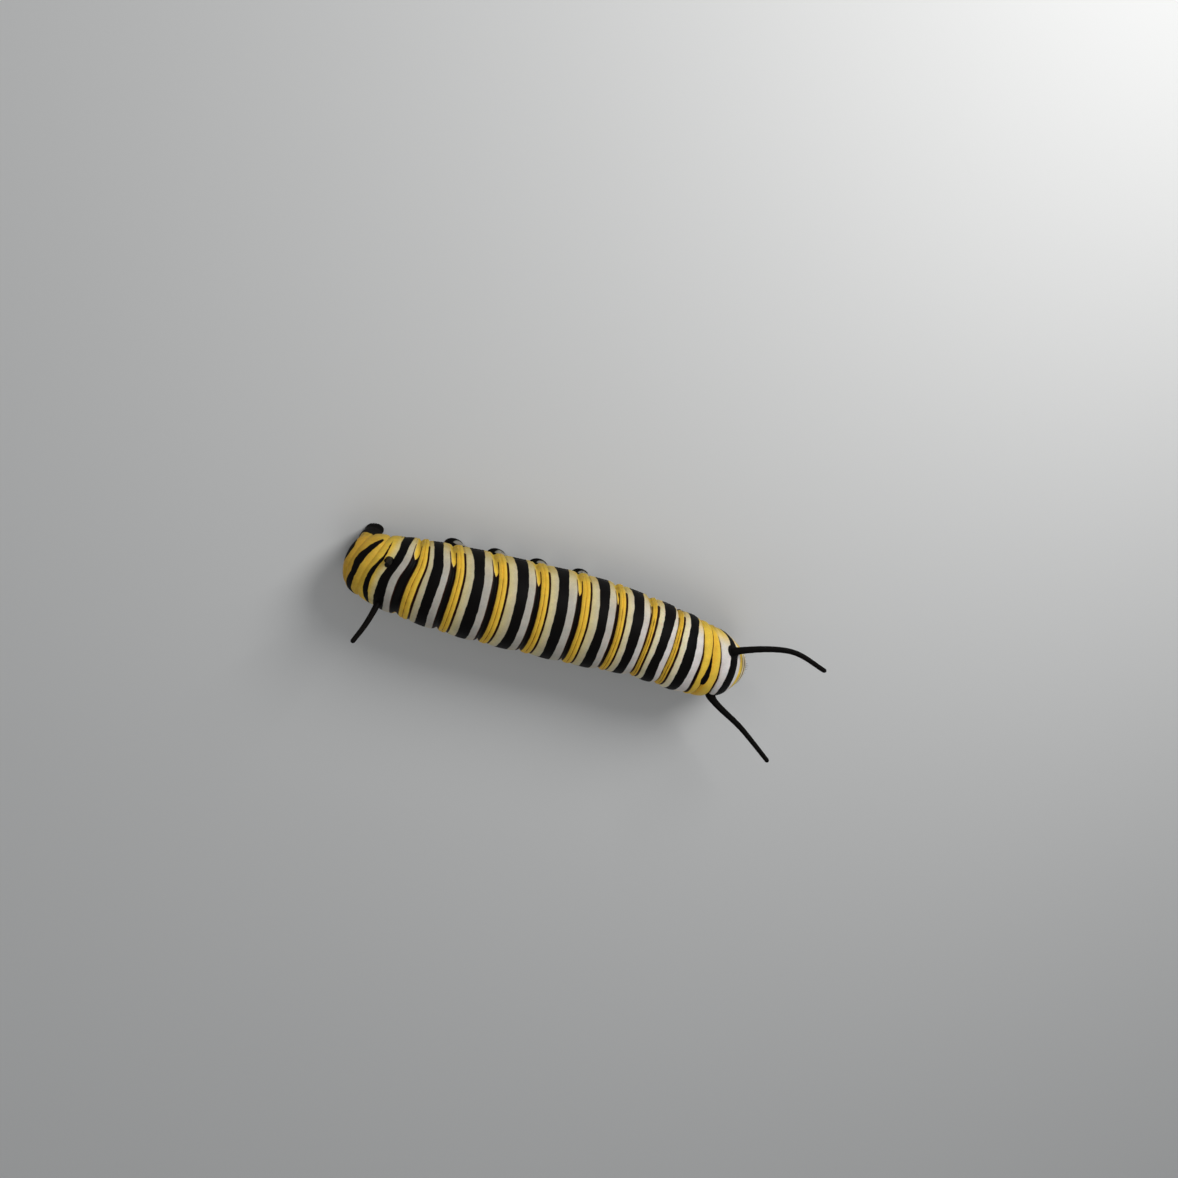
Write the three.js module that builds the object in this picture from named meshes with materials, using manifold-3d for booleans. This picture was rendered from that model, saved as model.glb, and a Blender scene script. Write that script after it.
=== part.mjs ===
// A monarch butterfly larva in its last stage, life size, resting on its feet.
// Millimetres. +X points to the head, +Y to the larva's left, +Z up, and the floor is z = 0.
import * as THREE from "three";
import { mergeVertices } from "three/addons/utils/BufferGeometryUtils.js";
import Module from "manifold-3d";

const wasm = await Module();
wasm.setup();

// Driving dimensions
const gap = 0.3;
const aroundBody = 24;
const bellyHeight = 1.05;
const spineStep = 0.02;
const heldSegment = "abdomen_5";
const originShift = { x: -4.656, y: 2.1 };

// Body rings from the head to the tail: length along the back, and the size and slope of the front edge
const body = [
  { name: "thorax_1", length: 1.4, pitch: -38, yaw: -8, halfWidth: 2.15, rise: 1.95, drop: 1.7 },
  { name: "thorax_2", length: 2.35, pitch: -28, yaw: -9, halfWidth: 2.75, rise: 2.5, drop: 2.0 },
  { name: "thorax_3", length: 3.75, pitch: -11, yaw: -12, halfWidth: 3.15, rise: 2.95, drop: 2.5 },
  { name: "abdomen_1", length: 2.25, pitch: 2, yaw: -8, halfWidth: 3.34, rise: 3.2, drop: 2.75 },
  { name: "abdomen_2", length: 2.6, pitch: 5, yaw: -3, halfWidth: 3.42, rise: 3.3, drop: 2.85 },
  { name: "abdomen_3", length: 3.25, pitch: 4, yaw: 0, halfWidth: 3.66, rise: 3.45, drop: 2.95 },
  { name: "abdomen_4", length: 3.55, pitch: 2, yaw: 0, halfWidth: 3.78, rise: 3.6, drop: 3.0 },
  { name: "abdomen_5", length: 3.65, pitch: 0, yaw: 0, halfWidth: 3.74, rise: 3.62, drop: 3.0 },
  { name: "abdomen_6", length: 3.65, pitch: 1, yaw: 0, halfWidth: 3.7, rise: 3.6, drop: 3.0 },
  { name: "abdomen_7", length: 3.65, pitch: 4, yaw: 0.5, halfWidth: 3.56, rise: 3.45, drop: 2.9 },
  { name: "abdomen_8", length: 2.95, pitch: 10, yaw: 1, halfWidth: 3.22, rise: 3.05, drop: 2.65 },
  { name: "abdomen_9", length: 1.2, pitch: 21, yaw: 2, halfWidth: 2.75, rise: 2.45, drop: 2.15 },
  { name: "abdomen_10", length: 0.8, pitch: 32, yaw: 3, halfWidth: 2.4, rise: 1.95, drop: 1.7 },
];
const tailEdge = { pitch: 46, yaw: 3, halfWidth: 1.9, rise: 1.35, drop: 1.2 };
const tailRounding = 0.75;
const bellySquareness = 2.5;

// Creases across the skin: where they lie along a segment, their depth and their width, as shares
const segmentFold = { depth: 0.075, width: 0.055 };
const abdomenCreases = [
  { at: 0.13, depth: 0.014, width: 0.022 },
  { at: 0.6, depth: 0.01, width: 0.02 },
  { at: 0.765, depth: 0.03, width: 0.024 },
  { at: 0.885, depth: 0.016, width: 0.02 },
];
const thoraxCreases = {
  thorax_1: [{ at: 0.5, depth: 0.03, width: 0.08 }],
  thorax_2: [
    { at: 0.1, depth: 0.025, width: 0.04 },
    { at: 0.62, depth: 0.02, width: 0.035 },
  ],
  thorax_3: [
    { at: 0.16, depth: 0.035, width: 0.03 },
    { at: 0.4, depth: 0.05, width: 0.03 },
    { at: 0.87, depth: 0.02, width: 0.025 },
  ],
};

// Head: how far its middle lies ahead of the first segment, its slope and its half sizes
const head = {
  ahead: 0.35,
  pitch: -28,
  halfWidth: 1.7,
  halfHeight: 1.72,
  front: 1.35,
  back: 1.15,
  grooveDepth: 0.09,
  grooveWidth: 0.2,
  chinNarrowing: 0.2,
  around: 24,
  rows: 16,
};
const eyeRadius = 0.15;
const eyeSink = 0.06;
// Six simple eyes a side, as degrees round from the face and up from the middle of the head
const eyePlaces = [
  [62, 4], [53, -2], [47, -11], [48, -22], [58, -32], [70, -16],
];

// Long black filaments: where each side's root lies along its segment, how far the tip lies forward,
// outward and up from there, and how far the middle bows
const filaments = [
  {
    name: "filament_front", segment: "thorax_2", along: { l: 0.36, r: 0.2 }, fromTop: 52,
    tips: { l: [5.85, 2.6, 5.05], r: [5.65, 3.0, 4.95] },
    bows: { l: [0.6, 1.2, 0], r: [0.3, 0, 0] },
    rootRadius: 0.5, tipRadius: 0.26, steps: 16,
  },
  {
    name: "filament_rear", segment: "abdomen_8", along: { l: 0.46, r: 0.46 }, fromTop: 40,
    tips: { l: [0.55, 1.25, 4.1], r: [-0.7, 2.3, 3.8] },
    bows: { l: [0.1, 0.12, 0], r: [0.1, 0.12, 0] },
    rootRadius: 0.42, tipRadius: 0.25, steps: 10,
  },
];
const filamentAround = 8;
const filamentSink = 0.55;

// Soft legs under the abdomen: the root sits in the body, the sole stands on the floor
const proleg = {
  feetBack: { abdomen_3: 0.8, abdomen_4: 1.2, abdomen_5: 1.35, abdomen_6: 1.45 },
  along: 0.62, rootOut: 1.75, footOut: 2.45, rootHeight: 2.5,
  sections: [
    { at: 0, long: 1.25, wide: 1.2 },
    { at: 0.4, long: 1.12, wide: 0.98 },
    { at: 0.74, long: 0.78, wide: 0.6 },
    { at: 0.9, long: 0.84, wide: 0.64 },
    { at: 1, long: 0.76, wide: 0.54 },
  ],
};
const analProleg = {
  along: 0.45, footBack: -1.2, rootOut: 1.3, footOut: 2.25, rootHeight: 2.2,
  sections: [
    { at: 0, long: 0.95, wide: 0.85 },
    { at: 0.5, long: 0.95, wide: 0.75 },
    { at: 0.8, long: 0.74, wide: 0.55 },
    { at: 0.93, long: 0.82, wide: 0.6 },
    { at: 1, long: 0.74, wide: 0.52 },
  ],
};

// True legs under the thorax: the first pair is held up by the mouth, the others stand
const legSections = [
  { at: 0, long: 0.72, wide: 0.68 },
  { at: 0.32, long: 0.62, wide: 0.58 },
  { at: 0.38, long: 0.46, wide: 0.44 },
  { at: 0.6, long: 0.42, wide: 0.4 },
  { at: 0.66, long: 0.33, wide: 0.31 },
  { at: 0.88, long: 0.28, wide: 0.27 },
  { at: 1, long: 0.26, wide: 0.25 },
];
const legs = [
  {
    name: "leg_1", segment: "thorax_1", along: 0.6, footBack: -0.35,
    rootOut: 0.85, footOut: 0.95, rootHeight: 2.7, footHeight: 0.35, bow: 0.25,
  },
  {
    name: "leg_2", segment: "thorax_2", along: 0.5, footBack: 0.15,
    rootOut: 1.15, footOut: 1.55, rootHeight: 2.7, footHeight: 0, bow: 0.4,
  },
  {
    name: "leg_3", segment: "thorax_3", along: 0.5, footBack: 0.3,
    rootOut: 1.3, footOut: 1.75, rootHeight: 2.8, footHeight: 0, bow: 0.4,
  },
];
const legAround = 10;
const prolegAround = 14;

// Finishes
const finishes = {
  banded: { color: 0xd9b440, roughness: 0.6, metalness: 0 },
  black: { color: 0x0f0d0c, roughness: 0.45, metalness: 0 },
  shell: { color: 0x14120f, roughness: 0.3, metalness: 0 },
  pale: { color: 0xc9c0a4, roughness: 0.4, metalness: 0 },
};

const model = new THREE.Group();
const degree = Math.PI / 180;
const edges = [...body, tailEdge];
const stations = [0];
for (const part of body) stations.push(stations[stations.length - 1] + part.length);
const bodyLength = stations[stations.length - 1];
const indexOf = (name) => body.findIndex((part) => part.name === name);

// A size at a place along the body, smooth through the segments' edges
function sizeAt(key, s) {
  let k = stations.findIndex((edge) => edge > s) - 1;
  if (k < 0) k = body.length - 1;
  const value = edges.map((edge) => edge[key]);
  const slope = (i) => {
    const a = Math.max(i - 1, 0);
    const b = Math.min(i + 1, value.length - 1);
    return (value[b] - value[a]) / (stations[b] - stations[a]);
  };
  const h = stations[k + 1] - stations[k];
  const t = (s - stations[k]) / h;
  return (
    (2 * t ** 3 - 3 * t ** 2 + 1) * value[k] +
    (t ** 3 - 2 * t ** 2 + t) * h * slope(k) +
    (3 * t ** 2 - 2 * t ** 3) * value[k + 1] +
    (t ** 3 - t ** 2) * h * slope(k + 1)
  );
}

// The spine: directions from pitch and yaw, added up from the head back
function direction(pitch, yaw) {
  const level = Math.cos(pitch * degree);
  return new THREE.Vector3(
    level * Math.cos(yaw * degree),
    level * Math.sin(yaw * degree),
    Math.sin(pitch * degree),
  );
}
const forwardAt = (s) => direction(sizeAt("pitch", s), sizeAt("yaw", s));
const spineCount = Math.ceil(bodyLength / spineStep);
const spine = [new THREE.Vector3()];
for (let i = 1; i <= spineCount; i++) {
  const middle = ((i - 0.5) * bodyLength) / spineCount;
  spine.push(spine[i - 1].clone().addScaledVector(forwardAt(middle), -bodyLength / spineCount));
}
function spinePoint(s) {
  const place = (s / bodyLength) * spineCount;
  const i = THREE.MathUtils.clamp(Math.floor(place), 0, spineCount - 1);
  return spine[i].clone().lerp(spine[i + 1], place - i);
}
const held = indexOf(heldSegment);
const heldAt = spinePoint(stations[held]);
const placed = new THREE.Vector3(originShift.x, originShift.y, bellyHeight + body[held].drop).sub(heldAt);
for (const point of spine) point.add(placed);

function frameAt(s) {
  const forward = forwardAt(s);
  const left = new THREE.Vector3(0, 0, 1).cross(forward).normalize();
  const up = forward.clone().cross(left);
  return { point: spinePoint(s), forward, left, up };
}

// Share by which creases pull the skin in
function creaseAt(s) {
  const k = Math.min(Math.max(stations.findIndex((edge) => edge > s) - 1, 0), body.length - 1);
  const part = body[k];
  const f = (s - stations[k]) / part.length;
  const dip = (at, depth, width) => depth * Math.exp(-(((f - at) / width) ** 2));
  const creases = thoraxCreases[part.name] ?? (part.length > 2 ? abdomenCreases : []);
  let share = 0;
  if (k > 0) share += dip(0, segmentFold.depth, segmentFold.width);
  if (k < body.length - 1) share += dip(1, segmentFold.depth, segmentFold.width);
  for (const crease of creases) share += dip(crease.at, crease.depth, crease.width);
  return share;
}

// A point on the skin; angle 0 is the middle of the back, and a quarter turn is the left flank
function skinPoint(s, angle, grow = 0) {
  const at = THREE.MathUtils.clamp(s, 0, bodyLength);
  const { point, left, up, forward } = frameAt(at);
  const fromEnd = bodyLength - s;
  const closing = fromEnd < tailRounding ? Math.sqrt(Math.max(1 - (1 - fromEnd / tailRounding) ** 2, 0)) : 1;
  const pull = (1 - creaseAt(at)) * closing;
  const c = Math.cos(angle);
  const sn = Math.sin(angle);
  const power = c > 0 ? 1 : 2 / bellySquareness;
  const out = Math.sign(sn) * Math.abs(sn) ** power;
  const high = Math.sign(c) * Math.abs(c) ** power;
  const halfWidth = sizeAt("halfWidth", at) * pull + grow;
  const halfHeight = sizeAt(c > 0 ? "rise" : "drop", at) * pull + grow;
  return point
    .addScaledVector(forward, at - s)
    .addScaledVector(left, halfWidth * out)
    .addScaledVector(up, halfHeight * high);
}
const bodyRing = (s, grow = 0) =>
  Array.from({ length: aroundBody }, (_, i) => skinPoint(s, (i / aroundBody) * 2 * Math.PI, grow));

// A closed skin over rings of points, with a fan at each end
function loft(rings) {
  const around = rings[0].length;
  const points = [];
  const faces = [];
  for (const ring of rings) points.push(...ring);
  for (let r = 0; r + 1 < rings.length; r++) {
    for (let i = 0; i < around; i++) {
      const a = r * around + i;
      const b = r * around + ((i + 1) % around);
      faces.push(a, b, a + around, b, b + around, a + around);
    }
  }
  const middle = (ring) => ring.reduce((sum, p) => sum.add(p), new THREE.Vector3()).divideScalar(ring.length);
  const first = points.length;
  points.push(middle(rings[0]), middle(rings[rings.length - 1]));
  const last = (rings.length - 1) * around;
  for (let i = 0; i < around; i++) {
    const next = (i + 1) % around;
    faces.push(first, next, i, first + 1, last + i, last + next);
  }
  let volume = 0;
  for (let i = 0; i < faces.length; i += 3) {
    volume += points[faces[i]].dot(points[faces[i + 1]].clone().cross(points[faces[i + 2]]));
  }
  if (volume < 0) faces.reverse();
  const geometry = new THREE.BufferGeometry().setFromPoints(points);
  geometry.setIndex(faces);
  return geometry;
}

// Closed geometry to a solid for joining and cutting, and back
function toSolid(geometry) {
  const bare = geometry.clone();
  bare.deleteAttribute("normal");
  bare.deleteAttribute("uv");
  const merged = mergeVertices(bare, 1e-4);
  return new wasm.Manifold(
    new wasm.Mesh({
      numProp: 3,
      vertProperties: new Float32Array(merged.attributes.position.array),
      triVerts: new Uint32Array(merged.index.array),
    }),
  );
}
function toGeometry(solid) {
  const pieces = solid.decompose().sort((a, b) => b.volume() - a.volume());
  const mesh = pieces[0].getMesh();
  const geometry = new THREE.BufferGeometry();
  geometry.setAttribute("position", new THREE.BufferAttribute(new Float32Array(mesh.vertProperties), 3));
  geometry.setIndex(new THREE.BufferAttribute(new Uint32Array(mesh.triVerts), 1));
  return geometry;
}

function addPart(name, geometry, finish) {
  geometry.computeVertexNormals();
  const mesh = new THREE.Mesh(geometry, new THREE.MeshStandardMaterial(finishes[finish]));
  mesh.name = name;
  model.add(mesh);
}

// Ring places along a segment, close together at its creases
const abdomenRings = [0, 0.055, 0.13, 0.22, 0.4, 0.58, 0.71, 0.765, 0.82, 0.885, 0.945, 1];
const thoraxRings = {
  thorax_1: [0, 0.12, 0.3, 0.5, 0.7, 0.88, 1],
  thorax_2: [0, 0.06, 0.12, 0.22, 0.38, 0.54, 0.62, 0.7, 0.84, 0.93, 1],
  thorax_3: [0, 0.05, 0.1, 0.16, 0.22, 0.33, 0.4, 0.47, 0.6, 0.74, 0.82, 0.87, 0.92, 1],
};
const tailRings = {
  abdomen_9: [0, 0.15, 0.4, 0.65, 0.85, 1],
  abdomen_10: [0, 0.12, 0.3, 0.48, 0.63, 0.76, 0.87, 0.95, 0.99],
};
function segmentRings(k, grow = 0, margin = gap / 2) {
  const part = body[k];
  const shares = thoraxRings[part.name] ?? tailRings[part.name] ?? abdomenRings;
  const from = stations[k] + (k > 0 ? margin : 0);
  const to = stations[k + 1] - (k < body.length - 1 ? margin : 0);
  return shares.map((share) => bodyRing(from + share * (to - from), grow));
}
// A segment grown by the gap on every side, for cutting roots clear of it
const grownSegment = (k) => toSolid(loft(segmentRings(k, gap, -gap / 2)));

// Head
const neck = frameAt(0);
const face = direction(head.pitch, body[0].yaw);
const headLeft = new THREE.Vector3(0, 0, 1).cross(face).normalize();
const crown = face.clone().cross(headLeft);
const headMiddle = neck.point.clone().addScaledVector(neck.forward, head.ahead);

// A point of the head: its direction in the head's own axes, face, left and crown
function headPoint(toPoint, grow = 0) {
  const { x, y, z } = toPoint;
  const top = THREE.MathUtils.smoothstep(z, 0.1, 0.8);
  const chin = THREE.MathUtils.smoothstep(-z, 0.1, 1);
  const groove = 1 - head.grooveDepth * top * Math.exp(-((y / head.grooveWidth) ** 2));
  const depth = x > 0 ? head.front : head.back;
  return headMiddle
    .clone()
    .addScaledVector(face, x * (depth * groove + grow))
    .addScaledVector(headLeft, y * (head.halfWidth * (1 - head.chinNarrowing * chin) + grow))
    .addScaledVector(crown, z * (head.halfHeight * groove + grow));
}
function headGeometry(grow, around, rows) {
  const geometry = new THREE.SphereGeometry(1, around, rows);
  const position = geometry.attributes.position;
  for (let i = 0; i < position.count; i++) {
    // The sphere's own poles go to the crown and the chin
    const toPoint = new THREE.Vector3(position.getX(i), -position.getZ(i), position.getY(i));
    const point = headPoint(toPoint, grow);
    position.setXYZ(i, point.x, point.y, point.z);
  }
  return geometry;
}
const headDirection = (aside, above) =>
  new THREE.Vector3(
    Math.cos(above * degree) * Math.cos(aside * degree),
    Math.cos(above * degree) * Math.sin(aside * degree),
    Math.sin(above * degree),
  );

function buildHead() {
  let solid = toSolid(headGeometry(0, head.around, head.rows));
  for (const side of [1, -1]) {
    for (const [aside, above] of eyePlaces) {
      const centre = headPoint(headDirection(side * aside, above), -eyeSink);
      const eye = new THREE.SphereGeometry(eyeRadius, 6, 5).translate(centre.x, centre.y, centre.z);
      solid = solid.add(toSolid(eye));
    }
  }
  addPart("head", toGeometry(solid), "shell");
}
const grownHead = () => toSolid(headGeometry(gap, head.around, head.rows));

// A tapered piece through a few centres; each row is [forward, left, up, half width, half depth]
function headPiece(rows, around) {
  const rings = rows.map(([forward, left, up, wide, deep]) =>
    Array.from({ length: around }, (_, i) => {
      const angle = (i / around) * 2 * Math.PI;
      return headMiddle
        .clone()
        .addScaledVector(face, forward + deep * Math.cos(angle))
        .addScaledVector(headLeft, left + wide * Math.sin(angle))
        .addScaledVector(crown, up);
    }),
  );
  return toSolid(loft(rings));
}
function buildMouth() {
  const clear = grownHead();
  // Upper lip: a flat notched plate under the face
  const lip = headPiece(
    [
      [0.75, 0, -0.6, 0.5, 0.3],
      [0.95, 0, -1.2, 0.55, 0.28],
      [0.98, 0, -1.6, 0.5, 0.26],
      [0.96, 0, -1.75, 0.38, 0.25],
    ],
    12,
  ).subtract(clear);
  addPart("labrum", toGeometry(lip), "pale");
  for (const side of [1, -1]) {
    const jaw = headPiece(
      [
        [0.2, side * 0.75, -0.9, 0.32, 0.4],
        [0.32, side * 0.72, -1.5, 0.32, 0.34],
        [0.38, side * 0.6, -1.85, 0.28, 0.3],
        [0.4, side * 0.5, -2.05, 0.25, 0.26],
      ],
      10,
    ).subtract(clear);
    addPart(side > 0 ? "mandible_l" : "mandible_r", toGeometry(jaw), "shell");
    const feeler = headPiece(
      [
        [0.75, side * 0.95, -0.5, 0.27, 0.27],
        [1.05, side * 1.12, -1.0, 0.27, 0.27],
        [1.15, side * 1.17, -1.2, 0.26, 0.26],
        [1.22, side * 1.2, -1.5, 0.25, 0.25],
        [1.25, side * 1.21, -1.68, 0.14, 0.14],
      ],
      8,
    ).subtract(clear);
    addPart(side > 0 ? "antenna_l" : "antenna_r", toGeometry(feeler), "black");
  }
  // Lower lip with the silk spinneret
  const under = headPiece(
    [
      [-0.5, 0, -1.2, 0.5, 0.4],
      [-0.45, 0, -1.75, 0.46, 0.38],
      [-0.38, 0, -2.05, 0.34, 0.3],
      [-0.32, 0, -2.2, 0.25, 0.25],
    ],
    12,
  ).subtract(clear);
  addPart("labium", toGeometry(under), "pale");
}

// Body
function buildBody() {
  body.forEach((part, k) => {
    let geometry = loft(segmentRings(k));
    if (part.name === "thorax_1") geometry = toGeometry(toSolid(geometry).subtract(grownHead()));
    addPart(part.name, geometry, "banded");
  });
}

// Filaments: a round bar along a bowed line, cut square to the skin it grows from
function buildFilaments() {
  for (const kind of filaments) {
    const k = indexOf(kind.segment);
    for (const side of [1, -1]) {
      const mark = side > 0 ? "l" : "r";
      const s = stations[k] + kind.along[mark] * body[k].length;
      const { point, forward, left, up } = frameAt(s);
      const root = skinPoint(s, side * kind.fromTop * degree);
      const shift = ([ahead, outward, above]) =>
        new THREE.Vector3()
          .addScaledVector(forward, ahead)
          .addScaledVector(left, side * outward)
          .addScaledVector(up, above);
      const tip = root.clone().add(shift(kind.tips[mark]));
      const middle = root.clone().lerp(tip, 0.5).add(shift(kind.bows[mark]));
      const inside = point.clone().lerp(root, filamentSink);
      const line = new THREE.CatmullRomCurve3([inside, root, middle, tip], false, "centripetal");
      const rings = [];
      for (let i = 0; i <= kind.steps; i++) {
        const t = i / kind.steps;
        const centre = line.getPointAt(t);
        const along = line.getTangentAt(t);
        const sideways = along.clone().cross(new THREE.Vector3(0, 0, 1)).normalize();
        const across = along.clone().cross(sideways);
        const radius = THREE.MathUtils.lerp(kind.rootRadius, kind.tipRadius, Math.sqrt(t));
        const ring = Array.from({ length: filamentAround }, (_, j) => {
          const angle = (j / filamentAround) * 2 * Math.PI;
          return centre
            .clone()
            .addScaledVector(sideways, radius * Math.cos(angle))
            .addScaledVector(across, radius * Math.sin(angle));
        });
        rings.push(ring);
      }
      let solid = toSolid(loft(rings));
      for (const near of [k - 1, k, k + 1]) solid = solid.subtract(grownSegment(near));
      addPart(`${kind.name}_${mark}`, toGeometry(solid), "black");
    }
  }
}

// A standing leg: level ovals from a root inside the body down to a flat sole
function standingLeg(kind, k, side, around, sections) {
  const s = stations[k] + kind.along * body[k].length;
  const { point, forward, left } = frameAt(s);
  const level = new THREE.Vector3(forward.x, forward.y, 0).normalize();
  const spot = (out, back, height) =>
    point.clone().addScaledVector(left, side * out).addScaledVector(level, -back).setZ(height);
  const root = spot(kind.rootOut, 0, kind.rootHeight);
  const foot = spot(kind.footOut, kind.footBack, kind.footHeight ?? 0);
  const bow = kind.bow ?? 0;
  const rings = sections.map(({ at, long, wide }) => {
    const centre = root.clone().lerp(foot, at).addScaledVector(left, side * bow * 4 * at * (1 - at));
    return Array.from({ length: around }, (_, i) => {
      const angle = (i / around) * 2 * Math.PI;
      return centre
        .clone()
        .addScaledVector(level, long * Math.cos(angle))
        .addScaledVector(left, wide * Math.sin(angle));
    });
  });
  let solid = toSolid(loft(rings));
  for (const near of [k - 1, k, k + 1]) {
    if (near >= 0 && near < body.length) solid = solid.subtract(grownSegment(near));
  }
  return solid;
}
function buildLegs() {
  for (const side of [1, -1]) {
    const mark = side > 0 ? "l" : "r";
    for (const kind of legs) {
      let solid = standingLeg(kind, indexOf(kind.segment), side, legAround, legSections);
      if (kind.name === "leg_1") solid = solid.subtract(grownHead());
      addPart(`${kind.name}_${mark}`, toGeometry(solid), "black");
    }
    for (const [name, footBack] of Object.entries(proleg.feetBack)) {
      const kind = { ...proleg, footBack };
      const solid = standingLeg(kind, indexOf(name), side, prolegAround, proleg.sections);
      addPart(`proleg_${name.slice(-1)}_${mark}`, toGeometry(solid), "black");
    }
    const last = standingLeg(analProleg, indexOf("abdomen_10"), side, prolegAround, analProleg.sections);
    addPart(`proleg_10_${mark}`, toGeometry(last), "black");
  }
}

buildHead();
buildMouth();
buildBody();
buildFilaments();
buildLegs();

export default model;
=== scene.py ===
import math

import bpy
import numpy as np
from mathutils import Matrix, Vector


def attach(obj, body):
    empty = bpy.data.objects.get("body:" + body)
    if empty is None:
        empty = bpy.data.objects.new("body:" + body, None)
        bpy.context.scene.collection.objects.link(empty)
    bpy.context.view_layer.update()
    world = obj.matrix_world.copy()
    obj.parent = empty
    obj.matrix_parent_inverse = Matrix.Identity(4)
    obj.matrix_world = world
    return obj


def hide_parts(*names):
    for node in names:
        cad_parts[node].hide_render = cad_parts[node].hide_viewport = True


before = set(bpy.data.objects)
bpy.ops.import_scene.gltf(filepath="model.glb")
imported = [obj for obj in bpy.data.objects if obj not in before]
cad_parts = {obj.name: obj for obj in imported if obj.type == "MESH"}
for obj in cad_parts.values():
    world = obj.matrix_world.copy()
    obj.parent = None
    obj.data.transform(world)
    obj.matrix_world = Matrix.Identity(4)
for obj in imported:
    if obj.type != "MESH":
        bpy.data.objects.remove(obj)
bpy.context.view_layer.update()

# A monarch butterfly larva at rest. Sizes are in millimetres and turned into metres when a mesh is made.
# +X points to the head, +Y to the larva's left, +Z up, and the floor is z = 0.
mm = 0.001
print("solids loaded:", len(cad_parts), "nodes")

# The camera's place, worked out from how the photo shows the body
view = dict(
    towardTail=14,  # degrees that the view leans to the tail
    towardLeft=22,  # degrees that it leans to the larva's left flank
    bodySlope=13.4,  # degrees that the body's line falls to the right in the picture
    distance=116,
    fieldOfView=46.4,
    frameSize=1178,
    aimPoint=(-4.656, 2.1, 4.0),
    aimPixel=(532.0, 608.4),  # where the aim point shows in the picture
)


def viewAxes():
    lean, roll = math.radians(view["towardTail"]), math.radians(view["towardLeft"])
    slope = math.radians(view["bodySlope"])
    toCamera = np.array([-math.sin(lean), math.sin(roll) * math.cos(lean), math.cos(roll) * math.cos(lean)])
    along = np.array([1.0, 0.0, 0.0]) - toCamera[0] * toCamera
    along /= np.linalg.norm(along)
    across = np.cross(toCamera, along)
    right = math.cos(slope) * along + math.sin(slope) * across
    upward = -math.sin(slope) * along + math.cos(slope) * across
    return right, upward, toCamera


def placeCamera():
    right, upward, toCamera = viewAxes()
    half = view["frameSize"] / 2
    perPixel = math.tan(math.radians(view["fieldOfView"] / 2)) * view["distance"] / half
    aside = (view["aimPixel"][0] - half) * perPixel
    above = (half - view["aimPixel"][1]) * perPixel
    place = np.array(view["aimPoint"]) - aside * right - above * upward + view["distance"] * toCamera
    camera = bpy.data.cameras.new("photoCamera")
    camera.sensor_width = 36
    camera.lens = camera.sensor_width / 2 / math.tan(math.radians(view["fieldOfView"] / 2))
    camera.clip_start = 1 * mm
    camera.clip_end = 10
    holder = bpy.data.objects.new("photoCamera", camera)
    turn = Matrix((right, upward, toCamera)).transposed()
    holder.matrix_world = Matrix.Translation(Vector(place * mm)) @ turn.to_4x4()
    bpy.context.scene.collection.objects.link(holder)
    bpy.context.scene.camera = holder


placeCamera()
print("camera placed")

# Body rings from the head to the tail: length, and the slope and size at each front edge
bodyRings = [
    dict(name="thorax_1", length=1.4, pitch=-38, yaw=-8, halfWidth=2.15, rise=1.95, drop=1.7),
    dict(name="thorax_2", length=2.35, pitch=-28, yaw=-9, halfWidth=2.75, rise=2.5, drop=2.0),
    dict(name="thorax_3", length=3.75, pitch=-11, yaw=-12, halfWidth=3.15, rise=2.95, drop=2.5),
    dict(name="abdomen_1", length=2.25, pitch=2, yaw=-8, halfWidth=3.34, rise=3.2, drop=2.75),
    dict(name="abdomen_2", length=2.6, pitch=5, yaw=-3, halfWidth=3.42, rise=3.3, drop=2.85),
    dict(name="abdomen_3", length=3.25, pitch=4, yaw=0, halfWidth=3.66, rise=3.45, drop=2.95),
    dict(name="abdomen_4", length=3.55, pitch=2, yaw=0, halfWidth=3.78, rise=3.6, drop=3.0),
    dict(name="abdomen_5", length=3.65, pitch=0, yaw=0, halfWidth=3.74, rise=3.62, drop=3.0),
    dict(name="abdomen_6", length=3.65, pitch=1, yaw=0, halfWidth=3.7, rise=3.6, drop=3.0),
    dict(name="abdomen_7", length=3.65, pitch=4, yaw=0.5, halfWidth=3.56, rise=3.45, drop=2.9),
    dict(name="abdomen_8", length=2.95, pitch=10, yaw=1, halfWidth=3.22, rise=3.05, drop=2.65),
    dict(name="abdomen_9", length=1.2, pitch=21, yaw=2, halfWidth=2.75, rise=2.45, drop=2.15),
    dict(name="abdomen_10", length=0.8, pitch=32, yaw=3, halfWidth=2.4, rise=1.95, drop=1.7),
]
tailEdge = dict(pitch=46, yaw=3, halfWidth=1.9, rise=1.35, drop=1.2)
stance = dict(
    heldRing="abdomen_5",
    heldX=-4.656,
    heldY=2.1,
    bellyHeight=1.05,
    tailRounding=0.75,
    bellySquareness=2.5,
)
stations = np.concatenate([[0.0], np.cumsum([ring["length"] for ring in bodyRings])])
bodyLength = stations[-1]
ringNumber = {ring["name"]: k for k, ring in enumerate(bodyRings)}


def ease(low, high, value):
    t = np.clip((np.asarray(value, float) - low) / (high - low), 0, 1)
    return t * t * (3 - 2 * t)


def blendTo(first, second, share):
    return first + (second - first) * share


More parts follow.
